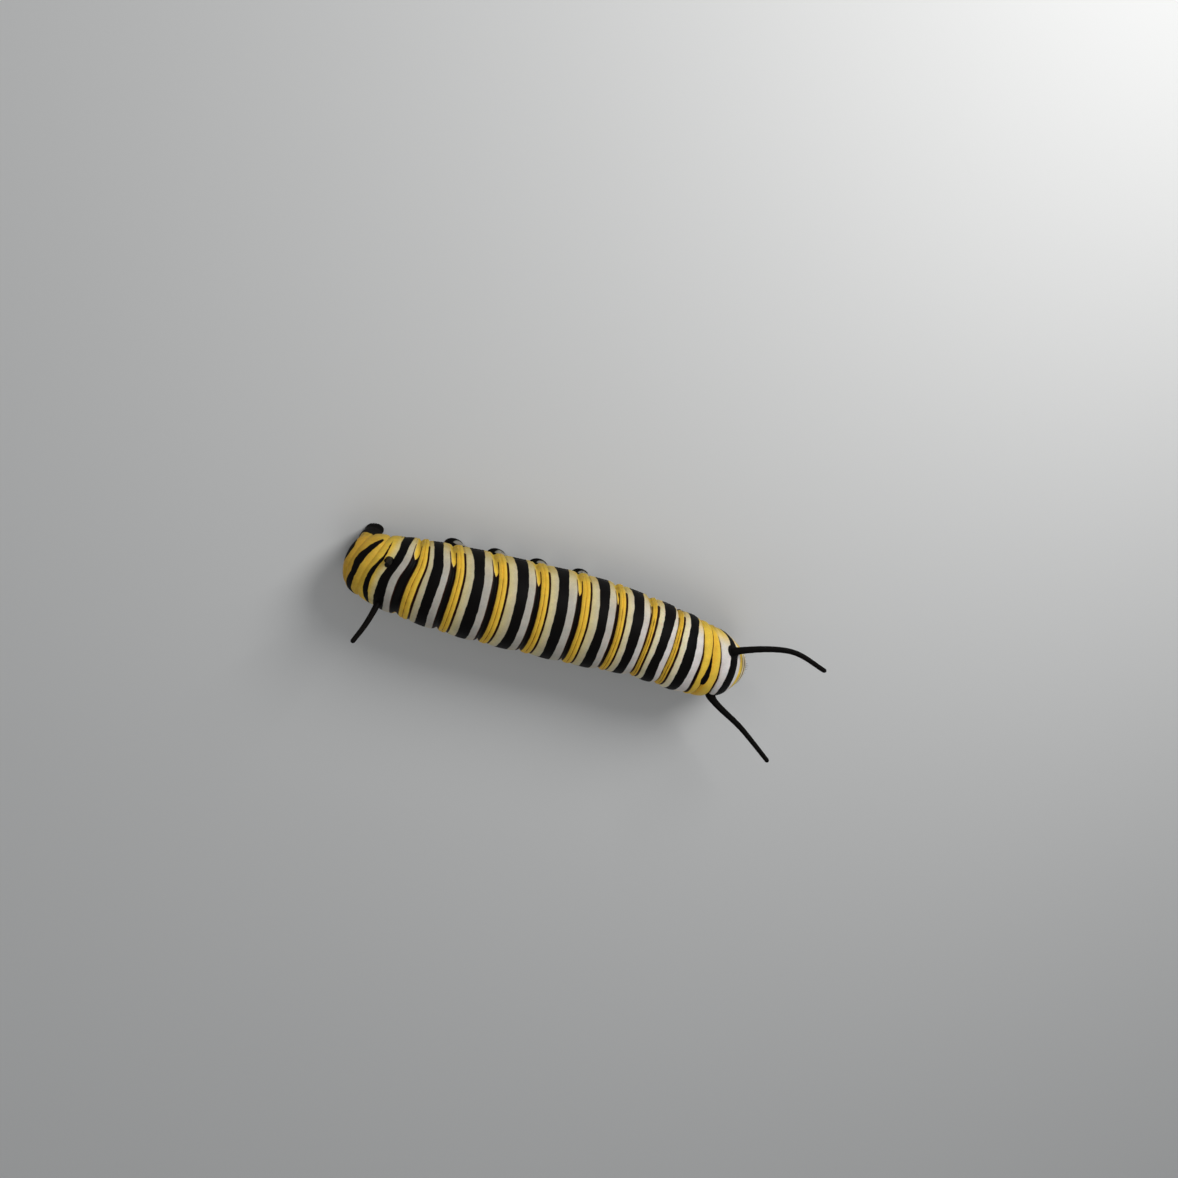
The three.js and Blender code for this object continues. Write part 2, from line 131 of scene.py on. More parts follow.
# A smooth curve through values at given places
def curveThrough(places, values, at):
    places, values = np.asarray(places, float), np.asarray(values, float)
    index = np.arange(len(values))
    before, after = np.maximum(index - 1, 0), np.minimum(index + 1, len(values) - 1)
    slope = (values[after] - values[before]) / (places[after] - places[before])
    k = np.clip(np.searchsorted(places, at, side="right") - 1, 0, len(values) - 2)
    span = places[k + 1] - places[k]
    t = (np.asarray(at, float) - places[k]) / span
    start = (2 * t**3 - 3 * t**2 + 1) * values[k] + (t**3 - 2 * t**2 + t) * span * slope[k]
    return start + (3 * t**2 - 2 * t**3) * values[k + 1] + (t**3 - t**2) * span * slope[k + 1]


def sizeAlong(key, s):
    return curveThrough(stations, [ring[key] for ring in bodyRings] + [tailEdge[key]], s)


def directionFrom(pitch, yaw):
    pitch, yaw = np.radians(pitch), np.radians(yaw)
    return np.stack([np.cos(pitch) * np.cos(yaw), np.cos(pitch) * np.sin(yaw), np.sin(pitch)], -1)


def directionAlong(s):
    return directionFrom(sizeAlong("pitch", s), sizeAlong("yaw", s))


# The spine is added up from the head back in short steps, then set down on its middle ring
def makeSpine(stepLength=0.02):
    steps = math.ceil(bodyLength / stepLength)
    step = bodyLength / steps
    middles = (np.arange(steps) + 0.5) * step
    points = np.concatenate([np.zeros((1, 3)), -np.cumsum(directionAlong(middles) * step, axis=0)])
    places = np.linspace(0, bodyLength, steps + 1)
    held = ringNumber[stance["heldRing"]]
    height = stance["bellyHeight"] + bodyRings[held]["drop"]
    heldAt = np.array([np.interp(stations[held], places, points[:, i]) for i in range(3)])
    return places, points + np.array([stance["heldX"], stance["heldY"], height]) - heldAt


spinePlaces, spinePoints = makeSpine()


def bodyFrame(s):
    s = np.asarray(s, float)
    point = np.stack([np.interp(s, spinePlaces, spinePoints[:, i]) for i in range(3)], -1)
    forward = directionAlong(s)
    left = np.cross([0.0, 0.0, 1.0], forward)
    left /= np.linalg.norm(left, axis=-1, keepdims=True)
    return point, forward, left, np.cross(forward, left)


# The place along the body at a share of a ring's length
def placeOnRing(name, share):
    k = ringNumber[name]
    return stations[k] + share * bodyRings[k]["length"]


# Where a leg grows from its ring, the way ahead over the floor, and the way to the left
def legFrame(name, share):
    point, forward, left = bodyFrame(placeOnRing(name, share))[:3]
    level = np.array([forward[0], forward[1], 0.0])
    return point, level / np.linalg.norm(level), left


# A point of the skin: angle 0 is the middle of the back and a quarter turn the left flank
def skinPoint(s, angle, relief=0.0):
    s, angle = np.broadcast_arrays(np.asarray(s, float), np.asarray(angle, float))
    at = np.clip(s, 0, bodyLength)
    point, forward, left, up = bodyFrame(at)
    toTail = np.clip((bodyLength - s) / stance["tailRounding"], 0, 1)
    closing = np.sqrt(np.maximum(1 - (1 - toTail) ** 2, 0))
    c, n = np.cos(angle), np.sin(angle)
    power = np.where(c > 0, 1.0, 2 / stance["bellySquareness"])
    out = np.sign(n) * np.abs(n) ** power
    high = np.sign(c) * np.abs(c) ** power
    halfWidth = (sizeAlong("halfWidth", at) + relief) * closing
    halfHeight = (np.where(c > 0, sizeAlong("rise", at), sizeAlong("drop", at)) + relief) * closing
    ahead = (at - s)[..., None] * forward
    return point + ahead + left * (halfWidth * out)[..., None] + up * (halfHeight * high)[..., None]


# Long black filaments, one pair behind the head and one by the tail
filaments = [
    dict(
        name="filament_front", ring="thorax_2", along=dict(l=0.36, r=0.2), fromTop=52,
        tips=dict(l=(5.85, 2.6, 5.05), r=(5.65, 3.0, 4.95)), bows=dict(l=(0.6, 1.2, 0.0), r=(0.3, 0.0, 0.0)),
        rootRadius=0.4, tipRadius=0.2, flare=0.1, blackAround=0.6,
    ),
    dict(
        name="filament_rear", ring="abdomen_8", along=dict(l=0.46, r=0.46), fromTop=40,
        tips=dict(l=(0.55, 1.25, 4.1), r=(-0.7, 2.3, 3.8)), bows=dict(l=(0.1, 0.12, 0.0), r=(0.1, 0.12, 0.0)),
        rootRadius=0.34, tipRadius=0.2, flare=0.04, blackAround=0.28,
    ),
]


# How the bands run round the body. For places along the middle of the back, each row says how much nearer
# the tail the same band lies at each angle, in millimetres. The body bends, so its two sides differ.
bandCourse = dict(
    angles=[-180, -105, -75, -45, -15, 15, 45, 75, 105, 180],
    leans=[
        (0.0, [0, 0, 0, 0, 0, 0, 0, 0, 0, 0]),
        (2.08, [-0.5, -1.1, -1.1, -0.65, -0.15, 0.02, 0.05, 0.1, 0.3, -0.5]),
        (5.97, [-0.3, -0.6, -0.6, -0.42, -0.15, 0.08, 0.25, 0.15, -0.1, -0.3]),
        (8.29, [-0.3, -0.5, -0.5, -0.4, -0.05, 0, -0.02, -0.12, -0.2, -0.3]),
        (10.69, [0.1, 0, 0, 0, -0.04, 0, 0.06, 0.18, 0.3, 0.1]),
        (13.7, [0.1, 0, 0, 0, 0.04, 0, 0.12, 0.22, 0.28, 0.1]),
        (17.42, [0, -0.2, -0.2, -0.12, -0.04, 0, 0.09, 0.15, 0.12, 0]),
        (20.95, [0.2, 0.15, 0.15, 0.12, 0, 0, 0.04, 0.2, 0.3, 0.2]),
        (24.55, [0.2, 0.03, 0.03, 0.03, 0.02, 0, 0.04, 0.25, 0.4, 0.2]),
        (27.95, [0.2, 0.05, 0.05, 0.05, 0.05, -0.05, -0.1, 0.15, 0.35, 0.2]),
        (31.35, [-0.3, 0.1, 0.1, 0.08, 0.06, -0.08, -0.6, -0.72, -0.75, -0.3]),
        (33.6, [-0.1, 0.4, 0.4, 0.35, 0.12, -0.12, -0.4, -0.65, -0.65, -0.1]),
        (34.3, [0, 0.22, 0.22, 0.18, 0.06, -0.06, -0.2, -0.32, -0.32, 0]),
        (35.05, [0, 0, 0, 0, 0, 0, 0, 0, 0, 0]),
    ],
)

# The skin's pattern. Places are millimetres from the head along the bands' course, angles are degrees from
# the middle of the back, and shares go from 0 at one black band to 1 at the next.
pattern = dict(
    blackMiddles=[2.08, 5.97, 8.29, 10.69, 13.7, 17.42, 20.95, 24.55, 27.95, 31.35],
    blackHalf=[0.41, 0.41, 0.4, 0.43, 0.45, 0.48, 0.46, 0.46, 0.42, 0.36],
    brownLines=[0.35, 0.41, 0.365, 0.34, 0.325, 0.34, 0.34, 0.34, 0.28],
    folds=[0.57, 0.59, 0.53, 0.54, 0.535, 0.545, 0.545, 0.545, 0.52],
    # width of the dark band behind a fold
    darkShares=[0.1, 0.035, 0.075, 0.115, 0.15, 0.16, 0.165, 0.18, 0.23],
    fineShare=0.6,  # the fine crease's share of the yellow band, where a thin brown line and deeper yellow are painted as shade
    brownHalf=0.1,
    # half width of the thin brown line painted as shade along the fine crease
    fineHalf=0.016,
    wedgeFrom=50,  # from here down the dark band is only two lines, with yellow between them
    wedgeOpening=(8, 12),
    wedgeSpread=dict(by=0.012, until=80),
    wedgeLine=0.085,
    lineEnds=dict(over=(82, 93), by=0.2),
    fineEnds=dict(over=(50, 66), by=0.1),
    bandFlank=dict(wider=0.12, over=(60, 112)),  # the black bands widen down the flank
    frontBandFlank=dict(wider=-0.1, over=(50, 80)),
    bandWave=0.03,
    thinLineReach=0.17,
    millimetresPerDegree=0.05,
    # thin lines of the thorax and one of the tail, as rows of angle, place and half width
    thinLines=dict(
        rim=[(-70, 0.23, -0.1), (-50, 0.23, 0.1), (50, 0.23, 0.1), (70, 0.23, -0.1)],
        collar=[(-90, 0.55, 0.03), (-30, 0.6, 0.05), (40, 0.68, 0.05), (85, 0.56, 0.03)],
        cap=[
            (-95, 2.94, 0.0), (-70, 2.93, 0.06), (0, 3.01, 0.08), (35, 3.27, 0.07), (60, 3.5, 0.05),
            (90, 3.7, 0.0),
        ],
        saddle=[
            (-90, 4.6, 0.0), (-60, 4.63, 0.1), (-8, 4.83, 0.14), (30, 4.83, 0.075), (64, 5.0, 0.05),
            (88, 5.07, 0.0),
        ],
        tail=[
            (-84, 31.95, -0.03), (-70, 32.0, 0.05), (-45, 32.2, 0.1), (0, 32.46, 0.1), (45, 32.34, 0.08),
            (70, 32.4, 0.05), (84, 32.45, -0.03),
        ],
        tear=[(-60, 4.1, -0.02), (-22, 4.06, 0.02), (58, 4.15, 0.045), (82, 4.17, 0.035), (100, 4.02, -0.02)],
    ),
    teardrop=[
        (-22, 4.07, -0.1), (-19, 4.07, 0.04), (-16, 4.06, 0.17), (-8, 4.06, 0.27), (3, 4.05, 0.22),
        (14, 4.05, 0.14), (27, 4.08, 0.06), (45, 4.12, 0.0),
    ],
    # the tail's two black lines; the second is the same on both sides
    firstTailLine=[
        (-82, 31.95, -0.05), (-70, 32.0, 0.07), (-40, 32.24, 0.17), (-18, 32.42, 0.2), (0, 32.46, 0.2),
        (18, 32.44, 0.18), (36, 32.36, 0.11), (45, 32.34, 0.08), (70, 32.4, 0.045), (82, 32.45, -0.05),
    ],
    secondTailLine=[
        (0, 33.6, 0.2), (20, 33.66, 0.25), (38, 33.62, 0.25), (66, 33.35, 0.2), (76, 33.2, 0.12),
        (84, 33.2, -0.05),
    ],
    plateEdge=[(0, 34.75), (20, 34.45), (45, 34.38), (65, 34.55), (85, 34.95), (95, 35.6)],
    plateDownTo=98,
    bellyFrom=121,
)
farOff = 9.0  # millimetres, more than any marking is wide
colours = dict(
    lavender=(229, 222, 217),  # the white bands of the thorax, greyer from the third abdominal ring on
    greyWhite=(190, 184, 173),
    cream=(236, 224, 184),
    sand=(221, 205, 150),  # the same bands further back
    yellow=(243, 203, 75),
    # the deeper yellow painted beside the fine crease as its shade
    orange=(232, 172, 44),
    olive=(188, 158, 60),
    ochre=(196, 150, 56),
    patch=(150, 148, 138),
    belly=(92, 90, 66),
    umber=(58, 24, 10),
    black=(11, 9, 8),
)


# How the colours of the ground give way to each other: from where, to where and how far. Places are in
# millimetres, angles in degrees from the middle of the back.
blends = dict(
    greyer=(5, 15, 1.0),  # the pale bands further back
    flankCream=(30, 85, 0.6),  # the white bands down the flank
    paleBesideBlack=(0.3, 0.12, 0.5),
    capYellow=(-0.04, 0.04, 1.0),  # from the thorax's own lines
    saddleWhite=(-0.06, 0.06, 1.0),
    collarYellow=(1.08, 1.02, 1.0),
    rimCream=(0.66, 0.56, 0.7),
    thoraxFlank=(52, 88, 0.8),
    tailYellow=(31.7, 32.3, 1.0),
    tailOchre=(31.8, 34.4, 0.8),
    flankOlive=(66, 104, 0.75),
    belly=(108, 128, 1.0),
)


def linear(colour):
    value = np.asarray(colour, float) / 255
    return np.where(value <= 0.04045, value / 12.92, ((value + 0.055) / 1.055) ** 2.4)


# How much nearer the tail a band lies at an angle than on the middle of the back
def bandLean(place, degrees):
    places, rows = zip(*bandCourse["leans"])
    total = 0.0
    for nearness, row in zip(np.eye(len(places)), rows):
        total = total + np.interp(place, places, nearness) * curveThrough(bandCourse["angles"], row, degrees)
    return total


# The band's place that runs through a point of the body, found in a few rounds
def patternPlace(s, degrees, rounds=25):
    place = s
    for number in range(rounds):
        place = s - bandLean(place, degrees)
    return place


# Where a line lies at an angle and half its width there, from rows of angle, place and half width
def lineAt(rows, degrees):
    angles, places, halves = zip(*rows)
    return np.interp(degrees, angles, places), np.interp(degrees, angles, halves)


# How far inside a line a place lies
def lineField(rows, degrees, place):
    middle, half = lineAt(rows, degrees)
    return half - np.abs(place - middle)


# How far behind one of the thin lines a place lies
def behindLine(key, degrees, place):
    return place - lineAt(pattern["thinLines"][key], degrees)[0]


# Share of the way from one black band to the next, the length of that way, and its lines' shares
def shareOfWay(place):
    middles = np.array(pattern["blackMiddles"])
    k = np.clip(np.searchsorted(middles, place, side="right") - 1, 0, len(middles) - 2)
    way = middles[k + 1] - middles[k]
    brown, fold, dark = (np.array(pattern[key])[k] for key in ("brownLines", "folds", "darkShares"))
    fine = blendTo(brown, fold, pattern["fineShare"])
    return (place - middles[k]) / way, way, brown, fine, fold, dark


# The thin line that is nearest: how far behind it a place lies, and the line's half width there
def nearestThinLine(place, degrees):
    offset, half = np.full(place.shape, farOff), np.full(place.shape, -farOff)
    for rows in pattern["thinLines"].values():
        middle, lineHalf = lineAt(rows, degrees)
        behind = place - middle
        nearer = (np.abs(behind) < np.abs(offset)) & (np.abs(behind) < pattern["thinLineReach"])
        offset = np.where(nearer, behind, offset)
        half = np.where(nearer, lineHalf, half)
    return offset, half


# What the skin's material reads at each point: black is how far inside a black marking it lies, in
# millimetres, ground is the colour between the markings, and the rest place the thin lines and dark bands
def paintSkin(place, degrees):
    away = np.abs(degrees)
    share, way, brown, fine, fold, dark = shareOfWay(place)
    black = np.full(place.shape, -farOff)
    for middle, half in zip(pattern["blackMiddles"], pattern["blackHalf"]):
        flank = pattern["frontBandFlank" if middle == pattern["blackMiddles"][0] else "bandFlank"]
        wave = pattern["bandWave"] * np.cos(np.radians(3 * degrees + 60 * middle))
        widen = wave + flank["wider"] * ease(*flank["over"], away)
        black = np.maximum(black, half + widen - np.abs(place - middle))

    # the long filaments root in a wider part of their bands
    for kind in filaments:
        for mark, side in (("l", 1), ("r", -1)):
            root = placeOnRing(kind["ring"], kind["along"][mark])
            behind = place - patternPlace(root, side * kind["fromTop"])
            aside = (degrees - side * kind["fromTop"]) * pattern["millimetresPerDegree"]
            black = np.maximum(black, kind["blackAround"] - np.hypot(behind, aside))

    ringed = (place > pattern["blackMiddles"][1]) & (place < pattern["blackMiddles"][-1])
    ends, fineEnds, spreading = pattern["lineEnds"], pattern["fineEnds"], pattern["wedgeSpread"]
    fade = np.where(ringed, ends["by"] * ease(*ends["over"], away), farOff)
    fineFade = fade + fineEnds["by"] * ease(*fineEnds["over"], away)
    wedgeFrom, (above, below) = pattern["wedgeFrom"], pattern["wedgeOpening"]
    opened = ease(wedgeFrom - above, wedgeFrom + below, away)
    spread = spreading["by"] * ease(wedgeFrom, spreading["until"], away)
    dark = dark * blendTo(1.0, 0.85, ease(20, 80, away)) * np.ones(place.shape)  # a little narrower below
    behindFold = (share - fold + spread) * way
    behindDark = (share - fold - dark - spread) * way
    inWedge = np.minimum(behindFold, -behindDark) - pattern["wedgeLine"] - 0.5 * (1 - opened)
    behindThin, thinHalf = nearestThinLine(place, degrees)
    values = dict(
        creases=np.stack([(share - brown) * way, (share - fine) * way, fineFade], -1),
        darkBand=np.stack([behindFold, behindDark, fade], -1),
        thinLine=np.stack([opened, behindThin, thinHalf], -1),
    )

    # thorax: the teardrop on the back; tail: two black lines, then the black plate over the rear
    black = np.maximum(black, lineField(pattern["teardrop"], degrees, place))
    black = np.maximum(black, lineField(pattern["firstTailLine"], degrees, place))
    black = np.maximum(black, lineField(pattern["secondTailLine"], away, place))
    plateAngles, platePlaces = zip(*pattern["plateEdge"])
    plate = place - np.interp(away, plateAngles, platePlaces)
    black = np.maximum(black, np.where(away < pattern["plateDownTo"], plate, -farOff))

    # belly: dull and dark, reaching up between the rings
    reach = pattern["bellyFrom"] + 5 * np.cos(2 * math.pi * share) + 3 * np.cos(5.1 * place)
    belly = (away - reach) * 0.06
    speckle = 0.55 * np.cos(2 * math.pi * share + 0.6) + 0.35 * np.cos(0.25 * degrees + place)
    black = np.maximum(black, np.minimum(belly, 0.1 + 0.4 * speckle))

    values["ground"] = paintGround(place, degrees, dark, inWedge)
    values["black"] = black
    return values


# The colour between the black markings
def paintGround(place, degrees, dark, inWedge):
    away = np.abs(degrees)
    share, _, brown, fine, fold, _ = shareOfWay(place)
    tone = {name: linear(colour) * np.ones(place.shape)[..., None] for name, colour in colours.items()}
    mix = lambda first, second, amount: blendTo(first, second, amount[..., None])

    def blend(first, second, key, at):
        low, high, amount = blends[key]
        return mix(first, second, ease(low, high, at) * amount)

    fineCreaseShade = np.exp(-(((share - fine) / 0.06) ** 2))  # painted shade: the yellow deepens to orange in the fine crease
    yellow = mix(tone["yellow"], tone["orange"], fineCreaseShade * 0.6)
    pale = blend(tone["lavender"], tone["greyWhite"], "greyer", place)
    cream = blend(tone["cream"], tone["sand"], "greyer", place)
    white = blend(pale, cream, "flankCream", away)
    cream = blend(cream, pale, "paleBesideBlack", share)
    # from one black band to the next: cream, yellow, then white behind the dark band
    ground = mix(cream, yellow, ease(brown - 0.01, brown + 0.01, share))
    ground = mix(ground, white, ease(fold + 0.2 * dark, fold + 0.7 * dark, share))
    ground = mix(ground, yellow, ease(0, 0.04, inWedge) * ease(46, 52, away))
    # the thorax ahead of the second black band, and the tail behind the last one
    thorax = blend(white, yellow, "capYellow", behindLine("cap", degrees, place))
    thorax = blend(thorax, white, "saddleWhite", behindLine("saddle", degrees, place))
    thorax = blend(thorax, yellow, "collarYellow", place)
    thorax = blend(thorax, cream, "rimCream", place)
    thorax = blend(thorax, tone["yellow"], "thoraxFlank", away)
    tail = blend(cream, yellow, "tailYellow", place)
    tail = blend(tail, tone["ochre"], "tailOchre", place)
    ground = np.where((place < pattern["blackMiddles"][1])[..., None], thorax, ground)
    ground = np.where((place > pattern["blackMiddles"][-1])[..., None], tail, ground)
    ground = blend(ground, tone["olive"], "flankOlive", away)
    return blend(ground, tone["belly"], "belly", away)


# The skin's relief: folds and creases pulled in, and the rounded rings between them
relief = dict(
    # depth and half width of what is pulled in, in millimetres
    fold=(0.21, 0.15),
    crease=(0.08, 0.08),
    fineCrease=(0.055, 0.045),
    darkEdge=(0.03, 0.07),
    flankPinch=(0.15, 0.4),
    dipPower=1.35,
    ringSwell=0.12, ringPower=0.8,
    yellowSwell=0.08, yellowPower=0.7,
    # grooves along the thorax's thin lines, and at places of the thorax and tail
    thinGrooves=dict(collar=(0.06, 0.06), cap=(0.22, 0.1), tear=(0.11, 0.08), saddle=(0.2, 0.1)),
    grooves=[(1.08, 0.12, 0.09), (32.95, 0.13, 0.1), (34.15, 0.1, 0.1)],
    # swellings from place to place, by how much
    swells=[
        (1.12, 3.02, 0.13), (3.1, 4.02, 0.07), (4.15, 4.78, 0.06), (4.9, 5.97, 0.06),
        (31.4, 32.9, 0.07), (33.0, 34.1, 0.07),
    ],
    flankRidge=dict(height=0.1, angle=113, width=8),
    flankGroove=dict(height=-0.05, angle=102, width=4),
    wrinkleHeight=0.012,
    bellyShare=0.45,  # how much of the relief is left on the belly
)


def skinRelief(place, degrees):
    away = np.abs(degrees)
    share, way, brown, fine, fold, dark = shareOfWay(place)
    dip = lambda distance, depth, width: -depth * np.exp(-((np.abs(distance) / width) ** relief["dipPower"]))
    bulge = lambda t, power: np.sin(math.pi * np.clip(t, 0, 1)) ** power
    folds = dip((share - fold - 0.3 * dark) * way, *relief["fold"])
    folds += dip((share - brown) * way, *relief["crease"])
    folds += dip((share - fine) * way, *relief["fineCrease"])
    folds += dip((share - fold - dark) * way, *relief["darkEdge"])
    afterFold = np.mod(share - fold, 1.0) / (1 - (fold - brown))
    folds += relief["ringSwell"] * bulge(afterFold, relief["ringPower"])
    folds += relief["yellowSwell"] * bulge((share - brown) / (fold - brown), relief["yellowPower"])
    onFlank = ease(55, 80, away) * ease(120, 100, away)
    folds += dip((share - fold - 0.5 * dark) * way, *relief["flankPinch"]) * onFlank
    height = folds * ease(5.4, 6.0, place) * ease(31.8, 31.3, place)  # only between thorax and tail
    for key, (depth, width) in relief["thinGrooves"].items():
        height = height + dip(behindLine(key, degrees, place), depth, width)
    for at, depth, width in relief["grooves"]:
        height = height + dip(place - at, depth, width)
    for low, high, amount in relief["swells"]:
        height = height + amount * bulge((place - low) / (high - low), relief["ringPower"])
    height = height * blendTo(1.0, relief["bellyShare"], ease(100, 150, away))
    along = lambda line: line["height"] * np.exp(-(((away - line["angle"]) / line["width"]) ** 2))
    ridge = along(relief["flankRidge"]) * (0.5 - 0.5 * np.cos(2 * math.pi * share))
    groove = along(relief["flankGroove"])
    wrinkle = relief["wrinkleHeight"] * np.sin(21 * place + 2.2 * np.sin(0.11 * degrees)) * ease(60, 95, away)
    return height + (ridge + groove) * ease(7, 9, place) * ease(33, 31, place) + wrinkle


# Soft legs: drawn down out of the skin to flat soles on the floor
prolegs = dict(
    feetBack=dict(abdomen_3=0.8, abdomen_4=1.2, abdomen_5=1.35, abdomen_6=1.45),
    patch=dict(ahead=0.2, long=0.72, lift=0.43, tall=0.28),  # the pale patch on the outer side
    along=0.62, footOut=2.45, rootOut=1.95, rootBack=0.4,
    rootLong=1.4, rootWide=1.15, soleLong=0.76, soleWide=0.54, soleShare=0.36,
    girthAt=[0, 0.1, 0.26, 0.42, 0.62, 0.82, 1],
    girth=[0, 0.1, 0.0, 0.26, 0.5, 0.74, 1],  # 0 is the sole's size and 1 the root's
    lift=[0, 0.07, 0.24, 0.42, 0.68, 0.9, 1],  # share of the way from the floor to the belly
)
tailLegs = dict(
    feetBack=dict(abdomen_10=-1.2),
    patch=None,
    along=0.45, footOut=2.25, rootOut=1.75, rootBack=-0.7,
    rootLong=1.05, rootWide=0.85, soleLong=0.74, soleWide=0.52, soleShare=0.36,
    girthAt=[0, 0.1, 0.26, 0.5, 0.8, 1],
    girth=[0, 0.12, 0.0, 0.5, 0.85, 1],
    lift=[0, 0.1, 0.3, 0.6, 0.9, 1],
)
soleEdge = 0.036  # points this close to a sole's edge lie on it; a share of the leg's root radius
legsBelow = 92  # degrees from the middle of the back


# Moves the skin's points round each soft leg. Says how high up the leg they lie, and how far inside its patch
def drawOutLegs(points, degrees, kind):
    legShare = np.full(points.shape[:2], farOff)
    inPatch = np.full(points.shape[:2], -farOff)
    patch = kind["patch"]
    for name, footBack in kind["feetBack"].items():
        point, level, left = legFrame(name, kind["along"])
        for side in (1, -1):
            across = side * left
            ahead = (points - point) @ level
            aside = (points - point) @ across
            u = (ahead + kind["rootBack"]) / kind["rootLong"]
            w = (aside - kind["rootOut"]) / kind["rootWide"]
            reach = np.hypot(u, w)
            beneath = side * degrees > legsBelow
            inside = (reach < 1) & beneath
            snapped = np.where(np.abs(reach - kind["soleShare"]) < soleEdge, kind["soleShare"], reach)
            t = np.clip((snapped - kind["soleShare"]) / (1 - kind["soleShare"]), 0, 1)
            girth = curveThrough(kind["girthAt"], kind["girth"], t)
            lift = np.clip(curveThrough(kind["girthAt"], kind["lift"], t), 0, 1)
            safe = np.maximum(reach, 1e-6)
            spread = np.minimum(snapped / kind["soleShare"], 1)
            legLong = blendTo(kind["soleLong"], kind["rootLong"], girth) * spread * u / safe
            legWide = blendTo(kind["soleWide"], kind["rootWide"], girth) * spread * w / safe
            centreBack = blendTo(footBack, kind["rootBack"], lift)
            centreOut = blendTo(kind["footOut"], kind["rootOut"], lift)
            moved = point + level * (legLong - centreBack)[..., None]
            moved = moved + across * (legWide + centreOut)[..., None]
            moved[..., 2] = points[..., 2] * lift
            points = np.where(inside[..., None], moved, points)
            legShare = np.where((reach < 1.25) & beneath, np.where(inside, lift, reach), legShare)
            if patch:
                offLong = (legLong - patch["ahead"]) / patch["long"]
                fromMiddle = np.hypot(offLong, (lift - patch["lift"]) / patch["tall"])
                inPatch = np.where(inside & (w > 0), 0.25 * (1 - fromMiddle), inPatch)
    return points, legShare, inPatch


# Meshes are grids of points, rows by columns, that close round their columns
def gridPiece(name, grids, material, nodes=(), values=None):
    vertices, faces, uvs = [], [], []
    cells = math.ceil(math.sqrt(len(grids)))
    start = 0
    for number, grid in enumerate(grids):
        rows, columns = grid.shape[:2]
        r, c = (a.ravel() for a in np.meshgrid(np.arange(rows - 1), np.arange(columns), indexing="ij"))
        corners = [(r, c), (r, c + 1), (r + 1, c + 1), (r + 1, c)]
        quad = np.stack([a * columns + b % columns for a, b in corners], 1)
        square = np.stack([np.stack([b / columns, a / (rows - 1)], 1) for a, b in corners], 1)
        p = grid.reshape(-1, 3)
        a, b, d = p[quad[:, 0]], p[quad[:, 1]], p[quad[:, 2]]
        if np.einsum("ij,ij->i", a - p.mean(0), np.cross(b - a, d - a)).sum() < 0:
            quad, square = quad[:, ::-1], square[:, ::-1]
        cell = np.array([number % cells, number // cells])
        vertices.append(p)
        faces.append(quad + start)
        uvs.append((cell + 0.02 + 0.96 * square) / cells)
        start += len(p)
    mesh = bpy.data.meshes.new(name)
    mesh.from_pydata((np.concatenate(vertices) * mm).tolist(), [], np.concatenate(faces).tolist())
    layer = mesh.uv_layers.new(name="OFBake")
    layer.data.foreach_set("uv", np.concatenate(uvs).ravel())
    mesh.polygons.foreach_set("use_smooth", np.ones(len(mesh.polygons), bool))
    for key, value in (values or {}).items():
        if value.ndim == 1:
            mesh.attributes.new(key, "FLOAT", "POINT").data.foreach_set("value", value)
        elif key == "ground":
            full = np.concatenate([value, np.ones((len(value), 1))], 1)
            mesh.attributes.new(key, "FLOAT_COLOR", "POINT").data.foreach_set("color", full.ravel())
        else:
            mesh.attributes.new(key, "FLOAT_VECTOR", "POINT").data.foreach_set("vector", value.ravel())
    mesh.materials.append(material)
    mesh.update()
    piece = bpy.data.objects.new(name, mesh)
    bpy.context.scene.collection.objects.link(piece)
    if nodes:
        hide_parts(*nodes)
    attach(piece, "root")
    return piece


# Material helpers
def newMaterial(name, **settings):
    material = bpy.data.materials.new(name)
    material.use_nodes = True
    shader = material.node_tree.nodes["Principled BSDF"]
    for key, value in settings.items():
        shader.inputs[key].default_value = value
    return material, material.node_tree, shader


def addNode(tree, kind, values=None, **settings):
    node = tree.nodes.new(kind)
    for key, value in settings.items():
        setattr(node, key, value)
    for key, value in (values or {}).items():
        if isinstance(value, bpy.types.NodeSocket):
            tree.links.new(value, node.inputs[key])
        else:
            node.inputs[key].default_value = value
    return node


def readValue(tree, name):
    return addNode(tree, "ShaderNodeAttribute", attribute_name=name)


def readThree(tree, name):
    return addNode(tree, "ShaderNodeSeparateXYZ", {"Vector": readValue(tree, name).outputs["Vector"]}).outputs


def mathNode(tree, operation, first, second):
    return addNode(tree, "ShaderNodeMath", {0: first, 1: second}, operation=operation).outputs[0]


def rangeNode(tree, value, low, high, toLow=0.0, toHigh=1.0):
    given = {"Value": value, "From Min": low, "From Max": high, "To Min": toLow, "To Max": toHigh}
    return addNode(tree, "ShaderNodeMapRange", given, interpolation_type="SMOOTHSTEP").outputs["Result"]


def mixColour(tree, share, first, second):
    node = addNode(tree, "ShaderNodeMix", data_type="RGBA")
    for key, value in ((0, share), (6, first), (7, second)):
        if isinstance(value, bpy.types.NodeSocket):
            tree.links.new(value, node.inputs[key])
        else:
            node.inputs[key].default_value = value
    return node.outputs[2]


def noiseNode(tree, vector, scale, detail=2.0, roughness=0.5):
    given = {"Vector": vector, "Scale": scale, "Detail": detail, "Roughness": roughness}
    return addNode(tree, "ShaderNodeTexNoise", given).outputs["Fac"]


def objectPlace(tree):
    return addNode(tree, "ShaderNodeTexCoord").outputs["Object"]


def stretched(tree, vector, scale):
    return addNode(tree, "ShaderNodeMapping", {"Vector": vector, "Scale": scale}).outputs["Vector"]


